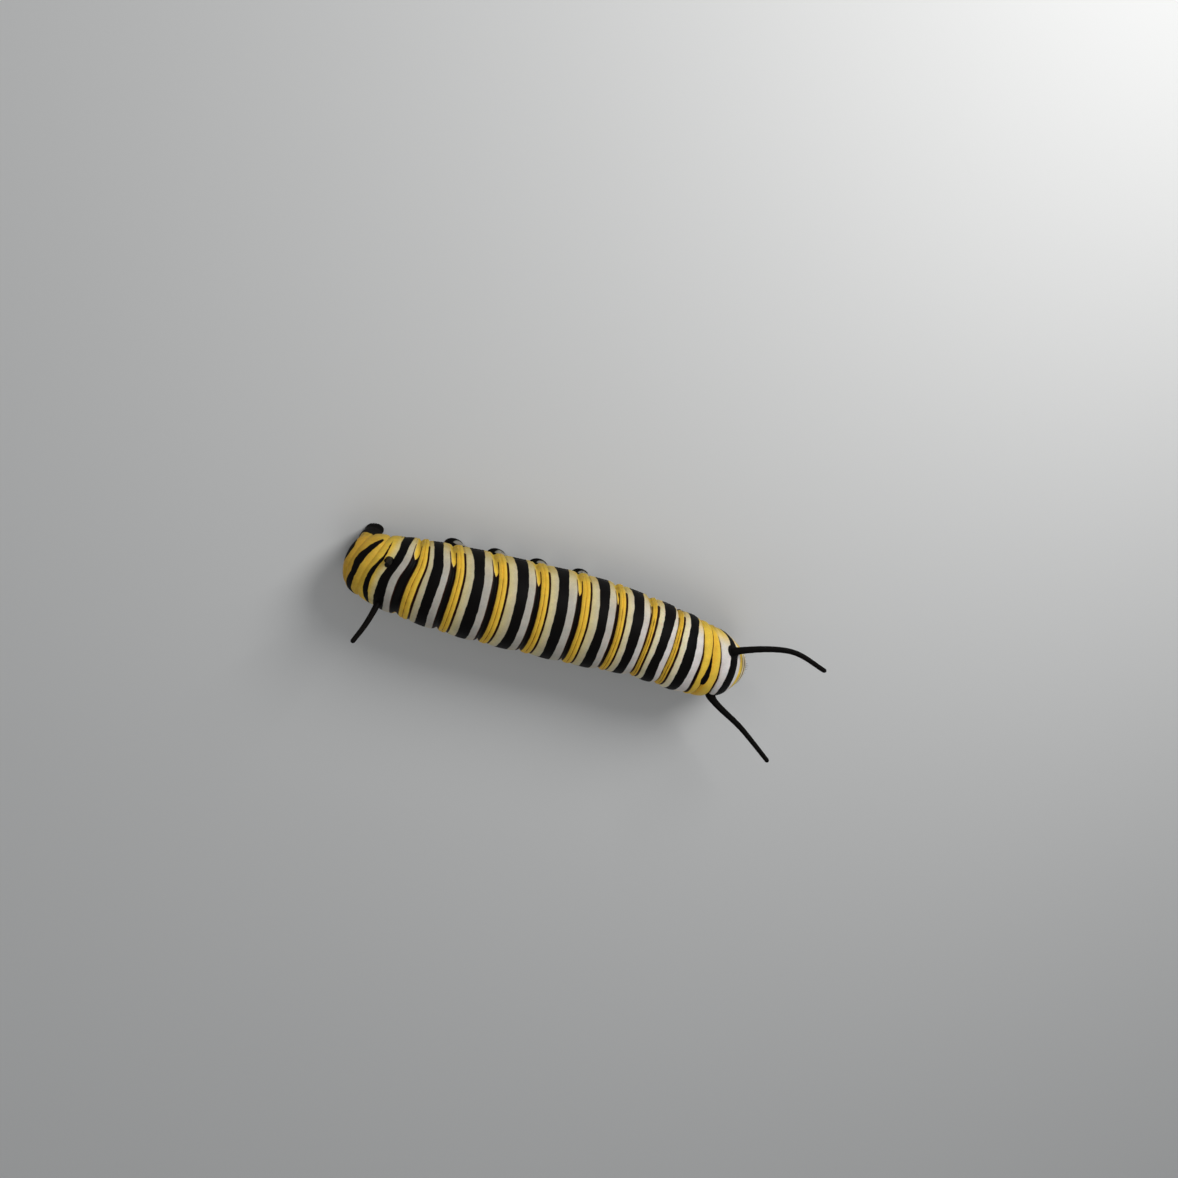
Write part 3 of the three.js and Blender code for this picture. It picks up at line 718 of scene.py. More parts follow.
def bumpTo(tree, shader, height, distance, strength=1.0):
    given = {"Height": height, "Distance": distance * mm, "Strength": strength}
    tree.links.new(addNode(tree, "ShaderNodeBump", given).outputs["Normal"], shader.inputs["Normal"])


def rgba(name):
    return (*linear(colours[name]), 1.0)


# A glossy finish whose two colours cloud into each other. Noises are given as scale and detail.
def cloudedMaterial(name, finish):
    material, tree, shader = newMaterial(name, **finish["shader"])
    place = objectPlace(tree)
    cloud = noiseNode(tree, place, *finish["clouds"])
    tree.links.new(mixColour(tree, cloud, *finish["colours"]), shader.inputs["Base Color"])
    spots = noiseNode(tree, place, *finish["spots"]) if "spots" in finish else cloud
    tree.links.new(rangeNode(tree, spots, 0.3, 0.7, *finish["roughness"]), shader.inputs["Roughness"])
    if "grain" in finish:
        bumpTo(tree, shader, noiseNode(tree, place, *finish["grain"]), *finish["grainDepthAndStrength"])
    return material


# The skin's finish. Noises are given as scale, detail and roughness, over places in millimetres.
skinFinish = dict(
    wander=(1.5, 3.0, 0.45),
    edgeWobble=0.06,  # how far the black bands' edges wander
    edgeSoftness=0.02,
    lineWobble=0.03,
    lineSoftness=0.025,
    clouds=(0.9, 4.0, 0.6), mottle=0.16,
    # the wrinkle shades paint shade into the wrinkles' hollows and a little light onto their ridges
    wrinkles=(1.0, 3.0, 0.6), wrinkleStretch=(16.0, 5.0, 1.0), paintedWrinkleShades=(0.93, 1.03), wrinkleHeight=1.4,
    grain=(11.0, 3.0, 0.6), grainDepth=0.006, grainStrength=0.9,
    specular=0.06, paleRoughness=0.45, darkRoughness=0.6,
    subsurface=0.12, subsurfaceReach=0.35,
)


def skinMaterial():
    settings = {"Specular IOR Level": skinFinish["specular"], "Subsurface Weight": skinFinish["subsurface"]}
    material, tree, shader = newMaterial("bandedSkin", **settings)
    shader.inputs["Subsurface Scale"].default_value = skinFinish["subsurfaceReach"] * mm
    place = readValue(tree, "place").outputs["Vector"]
    wander = mathNode(tree, "SUBTRACT", noiseNode(tree, place, *skinFinish["wander"]), 0.5)
    offBrown, offFine, fineFade = readThree(tree, "creases")
    offFold, offDark, fade = readThree(tree, "darkBand")
    opened, offThin, thinHalf = readThree(tree, "thinLine")
    inside = lambda half, offset: mathNode(tree, "SUBTRACT", half, mathNode(tree, "ABSOLUTE", offset, 0.0))
    less = lambda first, second: mathNode(tree, "SUBTRACT", first, second)
    most = lambda first, second: mathNode(tree, "MAXIMUM", first, second)
    brown = less(inside(pattern["brownHalf"], offBrown), fade)
    # painted shade: a thin brown line along the fine crease
    fine = less(inside(pattern["fineHalf"], offFine), fineFade)
    band = mathNode(tree, "MINIMUM", offFold, less(0.0, offDark))
    closed = mathNode(tree, "MULTIPLY", less(1.0, opened), 0.5)
    wedge = less(less(band, pattern["wedgeLine"]), closed)
    band = less(mathNode(tree, "MINIMUM", band, less(0.0, wedge)), fade)
    umber = most(most(brown, fine), most(band, inside(thinHalf, offThin)))

    def shareInside(field, wobble, softness):
        edge = mathNode(tree, "ADD", field, mathNode(tree, "MULTIPLY", wander, wobble * 2))
        return rangeNode(tree, edge, -softness, softness)

    black = readValue(tree, "black").outputs["Fac"]
    blackShare = shareInside(black, skinFinish["edgeWobble"], skinFinish["edgeSoftness"])
    umberShare = shareInside(umber, skinFinish["lineWobble"], skinFinish["lineSoftness"])
    umberColour = mixColour(tree, rangeNode(tree, umber, 0.01, 0.12), rgba("umber"), rgba("black"))
    cloud = noiseNode(tree, place, *skinFinish["clouds"])
    along = stretched(tree, place, skinFinish["wrinkleStretch"])
    wrinkles = noiseNode(tree, along, *skinFinish["wrinkles"])
    shade = rangeNode(tree, cloud, 0.3, 0.7, 1 - skinFinish["mottle"], 1.0)
    # painted shade: the colour darkens in the wrinkles' hollows and lightens slightly on their ridges
    paintedWrinkleShade = rangeNode(tree, wrinkles, 0.3, 0.7, *skinFinish["paintedWrinkleShades"])
    shade = mathNode(tree, "MULTIPLY", shade, paintedWrinkleShade)
    ground = readValue(tree, "ground").outputs["Color"]
    toned = addNode(tree, "ShaderNodeHueSaturation", {"Color": ground, "Value": shade}).outputs["Color"]
    colour = mixColour(tree, umberShare, toned, umberColour)
    colour = mixColour(tree, blackShare, colour, rgba("black"))
    tree.links.new(colour, shader.inputs["Base Color"])
    onPale, onBlack = skinFinish["paleRoughness"], skinFinish["darkRoughness"]
    tree.links.new(rangeNode(tree, blackShare, 0.0, 1.0, onPale, onBlack), shader.inputs["Roughness"])
    grain = noiseNode(tree, place, *skinFinish["grain"])
    height = mathNode(tree, "ADD", mathNode(tree, "MULTIPLY", wrinkles, skinFinish["wrinkleHeight"]), grain)
    height = mathNode(tree, "MULTIPLY", height, rangeNode(tree, blackShare, 0.0, 1.0, 1.0, 0.5))
    bumpTo(tree, shader, height, skinFinish["grainDepth"], skinFinish["grainStrength"])
    return material


# The skin of the whole body, one mesh from the rim behind the head to the tail
skin = dict(
    rows=530, rimRows=14, tailRows=18, columns=180,
    lineDensity=3.2,  # how much closer the rows lie along the lines and folds
    closerNear=(0.6, 1.08, 3.0, 4.07, 4.8, 32.05, 32.95, 34.15),  # and at these places of the thorax and tail
    legZone=(112, 158), legDensity=1.9, bellyDensity=0.7,
    # the rim behind the head: the share of its rows that roll in, then how they run back to the neck
    rimRoll=0.55, rollInward=0.13, rollAhead=0.16, neckInward=0.75, neckBack=0.9,
    legBlackUpTo=1.12,
)


# Places spread out by how densely they are wanted
def spreadOut(fine, density, shares):
    count = np.concatenate([[0], np.cumsum((density[1:] + density[:-1]) / 2)])
    return np.interp(np.asarray(shares) * count[-1], count, fine)


def skinRows():
    last = bodyLength - stance["tailRounding"]
    places = np.linspace(0, last, 9001)
    share, way, brown, fine, fold, dark = shareOfWay(places)
    offsets = [(share - at) * way for at in (brown, fine, fold, fold + dark)]
    offsets += [places - at for at in skin["closerNear"]]
    nearest = np.min(np.abs(offsets), axis=0)
    density = 1 + (skin["lineDensity"] - 1) * ease(0.26, 0.1, nearest)
    straight = spreadOut(places, density, np.linspace(0, 1, skin["rows"] - skin["tailRows"]))
    turn = np.linspace(0, math.pi / 2, skin["tailRows"] + 1)[1:]
    return np.concatenate([straight, bodyLength - stance["tailRounding"] * (1 - np.sin(turn))])


def skinAngles():
    fine = np.linspace(-180, 180, 7201)
    away = np.abs(fine)
    low, high = skin["legZone"]
    density = 1 + (skin["legDensity"] - 1) * ease(low - 8, low, away) * ease(high + 8, high, away)
    density = density * np.where(away > high, skin["bellyDensity"], 1.0)
    return spreadOut(fine, density, np.arange(skin["columns"]) / skin["columns"])


def buildSkin():
    degrees = skinAngles()[None, :]
    angle = np.radians(degrees)
    rows = skinRows()[:, None]
    place, degrees = np.broadcast_arrays(rows, degrees)
    s = place + bandLean(place, degrees)
    points = skinPoint(s, angle, skinRelief(place, degrees))
    values = paintSkin(place, degrees)
    values["place"] = np.stack([s, np.radians(degrees) * 3.6, np.zeros(s.shape)], -1)
    # the rim rolls in behind the head and runs back to the neck
    neck, forward = bodyFrame(0.0)[:2]
    rim = points[0] - neck
    rolled = []
    for t in np.linspace(1, 0, skin["rimRows"], endpoint=False):
        roll = min(t / skin["rimRoll"], 1) * math.pi
        beyond = max(t - skin["rimRoll"], 0)
        inward = skin["rollInward"] * (1 - math.cos(roll)) + skin["neckInward"] * beyond
        ahead = skin["rollAhead"] * math.sin(roll) - skin["neckBack"] * beyond
        rolled.append(neck + rim * (1 - inward / 2.0) + forward * ahead)
    points = np.concatenate([np.array(rolled), points])
    degrees = np.broadcast_to(degrees[:1], points.shape[:2])
    for key, value in values.items():
        values[key] = np.concatenate([np.repeat(value[:1], len(rolled), 0), value])

    for kind in (prolegs, tailLegs):
        points, legShare, inPatch = drawOutLegs(points, degrees, kind)
        onLeg = np.where(legShare < 2, (skin["legBlackUpTo"] - legShare) * 0.8, -farOff)
        values["black"] = np.minimum(np.maximum(values["black"], onLeg), -inPatch)
        pale = ease(-0.03, 0.02, inPatch)[..., None]
        values["ground"] = blendTo(values["ground"], linear(colours["patch"]), pale)

    flesh = [ring["name"] for ring in bodyRings]
    flesh += [f"proleg_{n}_{mark}" for n in (3, 4, 5, 6, 10) for mark in "lr"]
    flat = {key: value.reshape(-1, *value.shape[2:]) for key, value in values.items()}
    gridPiece("skin", [points], skinMaterial(), flesh, flat)
    print("skin built:", points.shape[0], "by", points.shape[1])
    return points


skinPoints = buildSkin()


# A smooth line through a few points, evenly spaced, with its directions
def smoothLine(points, count):
    points = np.asarray(points, float)
    points = np.concatenate([[2 * points[0] - points[1]], points, [2 * points[-1] - points[-2]]])
    pieces = []
    for p0, p1, p2, p3 in zip(points, points[1:], points[2:], points[3:]):
        d0, d1, d2 = (math.sqrt(np.linalg.norm(b - a)) for a, b in ((p0, p1), (p1, p2), (p2, p3)))
        slope1 = ((p1 - p0) / d0 - (p2 - p0) / (d0 + d1) + (p2 - p1) / d1) * d1
        slope2 = ((p2 - p1) / d1 - (p3 - p1) / (d1 + d2) + (p3 - p2) / d2) * d1
        t = np.linspace(0, 1, 60, endpoint=False)[:, None]
        start = (2 * t**3 - 3 * t**2 + 1) * p1 + (t**3 - 2 * t**2 + t) * slope1
        pieces.append(start + (3 * t**2 - 2 * t**3) * p2 + (t**3 - t**2) * slope2)
    dense = np.concatenate(pieces + [points[-2:-1]])
    length = np.concatenate([[0], np.cumsum(np.linalg.norm(np.diff(dense, axis=0), axis=1))])
    wanted = np.linspace(0, length[-1], count)
    line = np.stack([np.interp(wanted, length, dense[:, i]) for i in range(3)], 1)
    return line, length[-1]


# A round bar along a line; each ring turns with the line
def barGrid(line, radii, around):
    tangents = np.gradient(line, axis=0)
    tangents /= np.linalg.norm(tangents, axis=1, keepdims=True)
    side = np.cross(tangents[0], [0.31, 0.95, 0.05])
    side /= np.linalg.norm(side)
    angle = np.arange(around) / around * 2 * math.pi
    rings = []
    for centre, tangent, radius in zip(line, tangents, radii):
        side = side - tangent * (side @ tangent)
        side /= np.linalg.norm(side)
        other = np.cross(tangent, side)
        rings.append(centre + radius * (np.cos(angle)[:, None] * side + np.sin(angle)[:, None] * other))
    return np.array(rings)


# Radii that close a bar with a round end
def roundEnd(radii, line, blunt=1.0):
    toEnd = np.linalg.norm(line - line[-1], axis=1)
    reach = radii[-1] * blunt
    closing = np.sqrt(np.clip(1 - (1 - np.clip(toEnd / reach, 0, 1)) ** 2, 0, 1))
    return radii * np.maximum(closing, 0.02)


limbFinish = dict(
    specular=0.05, roughness=(0.55, 0.68),
    deepBlack=(0.0045, 0.0036, 0.003, 1.0), clouds=(900.0, 3.0),
    grain=(9000.0, 3.0, 0.6), grainDepth=0.006, grainStrength=0.8,
)


def limbMaterial():
    material, tree, shader = newMaterial("blackLimbSkin", **{"Specular IOR Level": limbFinish["specular"]})
    place = objectPlace(tree)
    cloud = noiseNode(tree, place, *limbFinish["clouds"])
    colour = mixColour(tree, rangeNode(tree, cloud, 0.35, 0.7), rgba("black"), limbFinish["deepBlack"])
    tree.links.new(colour, shader.inputs["Base Color"])
    tree.links.new(rangeNode(tree, cloud, 0.3, 0.7, *limbFinish["roughness"]), shader.inputs["Roughness"])
    grain = noiseNode(tree, place, *limbFinish["grain"])
    bumpTo(tree, shader, grain, limbFinish["grainDepth"], limbFinish["grainStrength"])
    return material


def buildFilaments(material):
    for kind in filaments:
        for mark, side in (("l", 1), ("r", -1)):
            s = placeOnRing(kind["ring"], kind["along"][mark])
            point, forward, left, up = bodyFrame(s)
            shift = lambda v: forward * v[0] + left * side * v[1] + up * v[2]
            root = skinPoint(s, math.radians(side * kind["fromTop"]))
            tip = root + shift(kind["tips"][mark])
            middle = (root + tip) / 2 + shift(kind["bows"][mark])
            inside = point + (root - point) * 0.55
            line, length = smoothLine([inside, root, middle, tip], 110)
            t = np.linspace(0, 1, len(line))
            radii = blendTo(kind["rootRadius"], kind["tipRadius"], np.sqrt(t))
            out = np.linalg.norm(line - inside, axis=1) - np.linalg.norm(root - inside)
            radii = radii + kind["flare"] * np.exp(-((np.maximum(out, 0) / 0.32) ** 1.4))
            radii = radii * (1 + 0.018 * np.sin(t * length * 9.0) * np.exp(-t))
            grid = barGrid(line, roundEnd(radii, line, 1.3), 28)
            gridPiece(f"{kind['name']}_{mark}", [grid], material, [f"{kind['name']}_{mark}"])
    print("filaments built")


limbs = limbMaterial()
buildFilaments(limbs)

# The head: a round shell with a groove down its crown, and a suture on each side of the face
head = dict(
    ahead=0.35, pitch=-28, halfWidth=1.7, halfHeight=1.72, front=1.35, back=1.15,
    grooveDepth=0.09, grooveWidth=0.2, chinNarrowing=0.2,
    rows=110, columns=168,
    vTop=0.42, vSlope=1.25,  # the face's inverted V in the head's own round coordinates
    innerYellow=(0.075, 0.05), outerYellow=(0.34, 0.075),
    sutureDepth=0.035, midlineDepth=0.03, lineWidth=0.022,
    lipPlateAt=-0.42, lipPlateDepth=0.04, lipPlateWidth=0.03,
)
neckPoint, neckForward = bodyFrame(0.0)[:2]
face = directionFrom(head["pitch"], bodyRings[0]["yaw"])
headLeft = np.cross([0.0, 0.0, 1.0], face)
headLeft /= np.linalg.norm(headLeft)
crown = np.cross(face, headLeft)
headMiddle = neckPoint + neckForward * head["ahead"]


def headPoint(toPoint, grow=0.0):
    x, y, z = toPoint[..., 0], toPoint[..., 1], toPoint[..., 2]
    groove = 1 - head["grooveDepth"] * ease(0.1, 0.8, z) * np.exp(-((y / head["grooveWidth"]) ** 2))
    narrow = 1 - head["chinNarrowing"] * ease(0.1, 1, -z)
    depth = np.where(x > 0, head["front"], head["back"])
    return (
        headMiddle
        + (x * (depth * groove + grow))[..., None] * face
        + (y * (head["halfWidth"] * narrow + grow))[..., None] * headLeft
        + (z * (head["halfHeight"] * groove + grow))[..., None] * crown
    )


def headSpot(forward, left, up):
    return headMiddle + face * forward + headLeft * left + crown * up


def headDirection(aside, above):
    aside, above = np.radians(aside), np.radians(above)
    return np.stack([np.cos(above) * np.cos(aside), np.cos(above) * np.sin(aside), np.sin(above)], -1)


def shellMaterial():
    settings = {"Coat Weight": 0.35, "Coat Roughness": 0.12, "Specular IOR Level": 0.5}
    material, tree, shader = newMaterial("headShell", **settings)
    place = objectPlace(tree)
    wander = mathNode(tree, "SUBTRACT", noiseNode(tree, place, 2600.0, 3.0), 0.5)
    edge = mathNode(tree, "MULTIPLY_ADD", wander, 0.07)
    tree.links.new(readValue(tree, "yellow").outputs["Fac"], edge.node.inputs[2])
    pale = mixColour(tree, noiseNode(tree, place, 1500.0, 4.0), rgba("yellow"), rgba("cream"))
    dark = mixColour(tree, noiseNode(tree, place, 1200.0, 2.0), rgba("black"), (0.016, 0.011, 0.007, 1.0))
    colour = mixColour(tree, rangeNode(tree, edge, -0.015, 0.015), dark, pale)
    tree.links.new(colour, shader.inputs["Base Color"])
    tree.links.new(rangeNode(tree, wander, -0.2, 0.2, 0.26, 0.38), shader.inputs["Roughness"])
    bumpTo(tree, shader, noiseNode(tree, place, 7500.0, 2.0), 0.01, 0.7)
    return material


def buildHead(material):
    above = np.linspace(89.5, -89.5, head["rows"])[:, None]
    aside = (np.arange(head["columns"]) / head["columns"] * 360)[None, :]
    toPoint = headDirection(*np.broadcast_arrays(aside, above))
    x, y, z = toPoint[..., 0], np.abs(toPoint[..., 1]), toPoint[..., 2]
    overV = (z - head["vTop"] + head["vSlope"] * y) / math.hypot(1, head["vSlope"])
    onFace = ease(0.0, 0.3, x)
    line = lambda distance, width: np.exp(-((distance / width) ** 2))
    suture = -head["sutureDepth"] * line(overV, head["lineWidth"]) * onFace * ease(-0.5, -0.4, z)
    midline = -head["midlineDepth"] * line(y, head["lineWidth"]) * ease(0.36, 0.44, z)
    lipPlate = -head["lipPlateDepth"] * line(z - head["lipPlateAt"], head["lipPlateWidth"])
    lipPlate = lipPlate * onFace * ease(0.5, 0.42, y)
    grid = headPoint(toPoint, suture + midline + lipPlate)
    inner, outer = head["innerYellow"], head["outerYellow"]
    yellow = np.maximum(inner[1] - np.abs(overV - inner[0]) - 0.2 * ease(-0.32, -0.45, z),
                        outer[1] - np.abs(overV - outer[0]) - 0.2 * ease(-0.42, -0.55, z))
    yellow = np.maximum(yellow - 0.3 * ease(0.1, -0.15, x), 0.05 - np.abs(z + 0.5) - 0.2 * ease(0.3, 0.4, y))
    values = dict(yellow=yellow.ravel())
    gridPiece("headShell", [grid], material, ["head"], values)
    print("head built")


shell = shellMaterial()
buildHead(shell)


# Six simple eyes on each side, small glassy domes
eyes = dict(
    radius=0.15, sink=0.05,
    places=[(62, 4), (53, -2), (47, -11), (48, -22), (58, -32), (70, -16)],
    finish=dict(
        shader={"Coat Weight": 0.8, "Coat Roughness": 0.05, "Specular IOR Level": 0.6},
        colours=[(0.004, 0.0035, 0.003, 1.0), (0.02, 0.013, 0.008, 1.0)],
        clouds=(3000.0, 2.0), spots=(5000.0, 2.0), roughness=(0.08, 0.16),
    ),
)


def domeGrid(centre, outward, radius, rows=9, around=18, flat=1.0):
    side = np.cross(outward, [0.2, 0.3, 0.93])
    side /= np.linalg.norm(side)
    other = np.cross(outward, side)
    rings = []
    for t in np.linspace(0.02, 1, rows):
        fromPole = t * math.pi * 0.62
        angle = np.arange(around) / around * 2 * math.pi
        flatRing = np.cos(angle)[:, None] * side + np.sin(angle)[:, None] * other
        rings.append(centre + radius * (math.sin(fromPole) * flatRing + flat * math.cos(fromPole) * outward))
    return np.array(rings)


def buildEyes():
    grids = []
    for side in (1, -1):
        for aside, above in eyes["places"]:
            toPoint = headDirection(side * aside, above)
            centre = headPoint(toPoint, -eyes["sink"])
            outward = headPoint(toPoint, 1.0) - headPoint(toPoint, 0.0)
            grids.append(domeGrid(centre, outward / np.linalg.norm(outward), eyes["radius"]))
    gridPiece("eyes", grids, cloudedMaterial("eyeGlass", eyes["finish"]))
    print("eyes built:", len(grids))


buildEyes()


# Mouth parts: rings through a few rows of forward, left, up, half width and half depth
mouth = dict(
    labrum=[
        (0.7, 0, -0.55, 0.46, 0.3), (0.92, 0, -1.0, 0.55, 0.3), (0.98, 0, -1.35, 0.56, 0.27),
        (0.98, 0, -1.6, 0.48, 0.24), (0.95, 0, -1.74, 0.3, 0.16),
    ],
    labium=[
        (-0.5, 0, -1.2, 0.5, 0.4), (-0.45, 0, -1.75, 0.46, 0.38), (-0.38, 0, -2.05, 0.34, 0.3),
        (-0.32, 0, -2.19, 0.12, 0.12),
    ],
    mandible=[
        (0.2, 0.75, -0.9, 0.32, 0.4), (0.32, 0.72, -1.5, 0.32, 0.34), (0.38, 0.6, -1.85, 0.28, 0.3),
        (0.4, 0.5, -2.03, 0.16, 0.22),
    ],
    antenna=[
        (0.75, 0.95, -0.5, 0.27, 0.27), (1.0, 1.09, -0.92, 0.26, 0.26), (1.08, 1.13, -1.04, 0.19, 0.19),
        (1.15, 1.17, -1.2, 0.18, 0.18), (1.2, 1.19, -1.36, 0.17, 0.17), (1.22, 1.2, -1.42, 0.11, 0.11),
        (1.25, 1.21, -1.66, 0.09, 0.09),
    ],
    # the palps beside the lower lip and the spinneret in its middle: from, to, radius and bluntness
    spinneret=((-0.3, 0, -1.95), (-0.1, 0, -2.2), 0.1, 0.4),
    palps=[
        ((-0.25, 0.32, -1.7), (0.02, 0.34, -2.08), 0.13, 0.45),
        ((-0.1, 0.62, -1.3), (0.1, 0.5, -1.95), 0.24, 0.5),
        ((0.08, 0.5, -1.9), (0.16, 0.44, -2.12), 0.09, 0.5),
    ],
    teeth=dict(count=4, firstOut=0.3, step=0.15, radius=0.09),
    horn=dict(
        shader={"Coat Weight": 0.2, "Coat Roughness": 0.2},
        colours=[(0.5, 0.43, 0.27, 1.0), (0.3, 0.22, 0.1, 1.0)],
        clouds=(1800.0, 3.0), spots=(4000.0, 2.0), roughness=(0.32, 0.45),
        grain=(8000.0, 2.0), grainDepthAndStrength=(0.008, 0.6),
    ),
)


def mouthGrid(rows, side=1, count=36, around=28, notch=0.0):
    rows = np.array(rows, float)
    t = np.linspace(0, len(rows) - 1, count)
    sizes = np.stack([curveThrough(np.arange(len(rows)), rows[:, i], t) for i in range(5)], 1)
    angle = np.arange(around) / around * 2 * math.pi
    rings = []
    for forward, left, up, wide, deep in np.concatenate([sizes[:1], sizes, sizes[-1:]]):
        ring = headSpot(forward, side * left, up)
        ring = ring + np.cos(angle)[:, None] * face * deep + np.sin(angle)[:, None] * headLeft * wide
        rings.append(ring)
    rings[0] = rings[0].mean(0) + (rings[0] - rings[0].mean(0)) * 0.02
    tipMiddle = rings[-1].mean(0) - crown * 0.05
    rings[-1] = tipMiddle + (rings[-1] - tipMiddle) * 0.02
    grid = np.array(rings)
    if notch:
        fromMiddle = np.abs((grid - headMiddle) @ headLeft)
        down = np.linspace(0, 1, len(grid))[:, None] ** 6
        grid = grid + (crown * notch) * (down * np.exp(-((fromMiddle / 0.16) ** 2)))[..., None]
    return grid


# Small bars for palps, claws, teeth and hairs
def spikeGrid(base, tip, radius, around=10, rows=8, bend=(0, 0, 0), blunt=0.12):
    base, tip = np.asarray(base, float), np.asarray(tip, float)
    t = np.linspace(0, 1, rows)[:, None]
    line = base + (tip - base) * t + np.asarray(bend, float) * (4 * t * (1 - t))
    radii = radius * (1 - (1 - blunt) * t[:, 0] ** 1.3)
    radii[-1] *= 0.05
    return barGrid(line, radii, around)


def palpGrid(palp, side):
    start, end, radius, blunt = palp
    base, tip = (headSpot(ahead, side * aside, above) for ahead, aside, above in (start, end))
    return spikeGrid(base, tip, radius, blunt=blunt)


def buildMouth(shellLook, limbLook):
    horn, teeth = cloudedMaterial("paleHorn", mouth["horn"]), mouth["teeth"]
    gridPiece("upperLip", [mouthGrid(mouth["labrum"], notch=0.22)], horn, ["labrum"])
    lower = [mouthGrid(mouth["labium"]), palpGrid(mouth["spinneret"], 1)]
    lower += [palpGrid(palp, side) for side in (1, -1) for palp in mouth["palps"]]
    gridPiece("lowerLip", lower, horn, ["labium"])
    for mark, side in (("l", 1), ("r", -1)):
        jaw = [mouthGrid(mouth["mandible"], side)]
        for number in range(teeth["count"]):
            out = side * (teeth["firstOut"] + teeth["step"] * number)
            base, tip = headSpot(0.42, out, -1.86), headSpot(0.44, out * 0.92, -2.08)
            jaw.append(spikeGrid(base, tip, teeth["radius"]))
        gridPiece(f"mandible_{mark}", jaw, shellLook, [f"mandible_{mark}"])
        bristle = spikeGrid(headSpot(1.22, side * 1.2, -1.5), headSpot(1.3, side * 1.24, -1.68), 0.03)
        parts = [mouthGrid(mouth["antenna"], side), bristle]
        gridPiece(f"antenna_{mark}", parts, limbLook, [f"antenna_{mark}"])
    print("mouth built")


buildMouth(shell, limbs)

# True legs: jointed and shiny, the first pair held up by the mouth
trueLegs = dict(
    kinds=[
        dict(name="leg_1", ring="thorax_1", along=0.6, footBack=-0.35, rootOut=0.85, footOut=0.95,
             rootHeight=2.7, footHeight=0.35, bow=0.25),
        dict(name="leg_2", ring="thorax_2", along=0.5, footBack=0.15, rootOut=1.15, footOut=1.55,
             rootHeight=2.7, footHeight=0.0, bow=0.4),
        dict(name="leg_3", ring="thorax_3", along=0.5, footBack=0.3, rootOut=1.3, footOut=1.75,
             rootHeight=2.8, footHeight=0.0, bow=0.4),
    ],
    sizeAt=[0, 0.3, 0.4, 0.6, 0.68, 0.84, 0.9],
    long=[0.72, 0.62, 0.47, 0.43, 0.34, 0.28, 0.2],
    wide=[0.68, 0.58, 0.45, 0.41, 0.32, 0.27, 0.19],
    joints=[0.35, 0.64, 0.86],
    pinch=0.13, pinchWidth=0.016,  # at each joint
    swell=0.05, swellWidth=0.045, swellAbove=0.06,  # above each joint
    clawFrom=0.9, clawRadius=0.12,
    rows=64, columns=26,
    finish=dict(
        shader={"Coat Weight": 0.08, "Coat Roughness": 0.25, "Specular IOR Level": 0.2},
        colours=[rgba("black"), (0.02, 0.012, 0.007, 1.0)],
        clouds=(1600.0, 3.0), roughness=(0.34, 0.48),
        grain=(8000.0, 3.0), grainDepthAndStrength=(0.01, 0.7),
    ),
)


# How close a place along the leg is to one of its joints
def nearJoint(t, above, width):
    return sum(math.exp(-(((t - joint + above) / width) ** 2)) for joint in trueLegs["joints"])


def buildTrueLegs():
    material = cloudedMaterial("legShell", trueLegs["finish"])
    angle = np.arange(trueLegs["columns"]) / trueLegs["columns"] * 2 * math.pi
    for kind in trueLegs["kinds"]:
        point, level, left = legFrame(kind["ring"], kind["along"])
        for mark, side in (("l", 1), ("r", -1)):
            spot = lambda out, back: point + left * side * out - level * back
            root, foot = spot(kind["rootOut"], 0), spot(kind["footOut"], kind["footBack"])
            root[2], foot[2] = kind["rootHeight"], kind["footHeight"]
            rings = []
            for t in np.linspace(0, trueLegs["clawFrom"], trueLegs["rows"]):
                centre = root + (foot - root) * t + left * side * kind["bow"] * 4 * t * (1 - t)
                pinch = 1 - trueLegs["pinch"] * nearJoint(t, 0, trueLegs["pinchWidth"])
                swell = 1 + trueLegs["swell"] * nearJoint(t, trueLegs["swellAbove"], trueLegs["swellWidth"])
                long, wide = (curveThrough(trueLegs["sizeAt"], trueLegs[key], t) for key in ("long", "wide"))
                ring = np.cos(angle)[:, None] * level * long + np.sin(angle)[:, None] * left * wide
                rings.append(centre + ring * pinch * swell)
            end = rings[-1].mean(0)
            rings.append(end + (rings[-1] - end) * 0.6 - np.array([0, 0, 0.03]))
            rings.append(end + (rings[-1] - end) * 0.05 - np.array([0, 0, 0.01]))
            start = end - np.array([0, 0, 0.02])
            claw = spikeGrid(start, foot + np.array([0, 0, 0.02]), trueLegs["clawRadius"],
                             bend=left * side * 0.07, around=14, rows=14, blunt=0.25)
            grids = [np.array(rings), claw]
            gridPiece(f"{kind['name']}_{mark}", grids, material, [f"{kind['name']}_{mark}"])
    print("true legs built")


buildTrueLegs()

# Breathing holes: a small black oval with a rim on the first ring and on eight rings of the abdomen
spiracles = dict(
    fromTop=103, shareOfRing=0.42, tall=0.16, broad=0.095,
    larger=dict(thorax_1=1.25, abdomen_8=1.25),
    # size and height of each row, from the foot of the rim to the middle of the hole
    steps=[(1.18, -0.06), (1.12, 0.02), (1.0, 0.02), (0.84, 0.02), (0.6, -0.01), (0.02, -0.02)],
    finish=dict(
        shader={"Coat Weight": 0.1, "Coat Roughness": 0.05, "Specular IOR Level": 0.6},
        colours=[(0.005, 0.004, 0.004, 1.0), (0.02, 0.013, 0.008, 1.0)],
        clouds=(3000.0, 2.0), spots=(5000.0, 2.0), roughness=(0.5, 0.58),
    ),
)


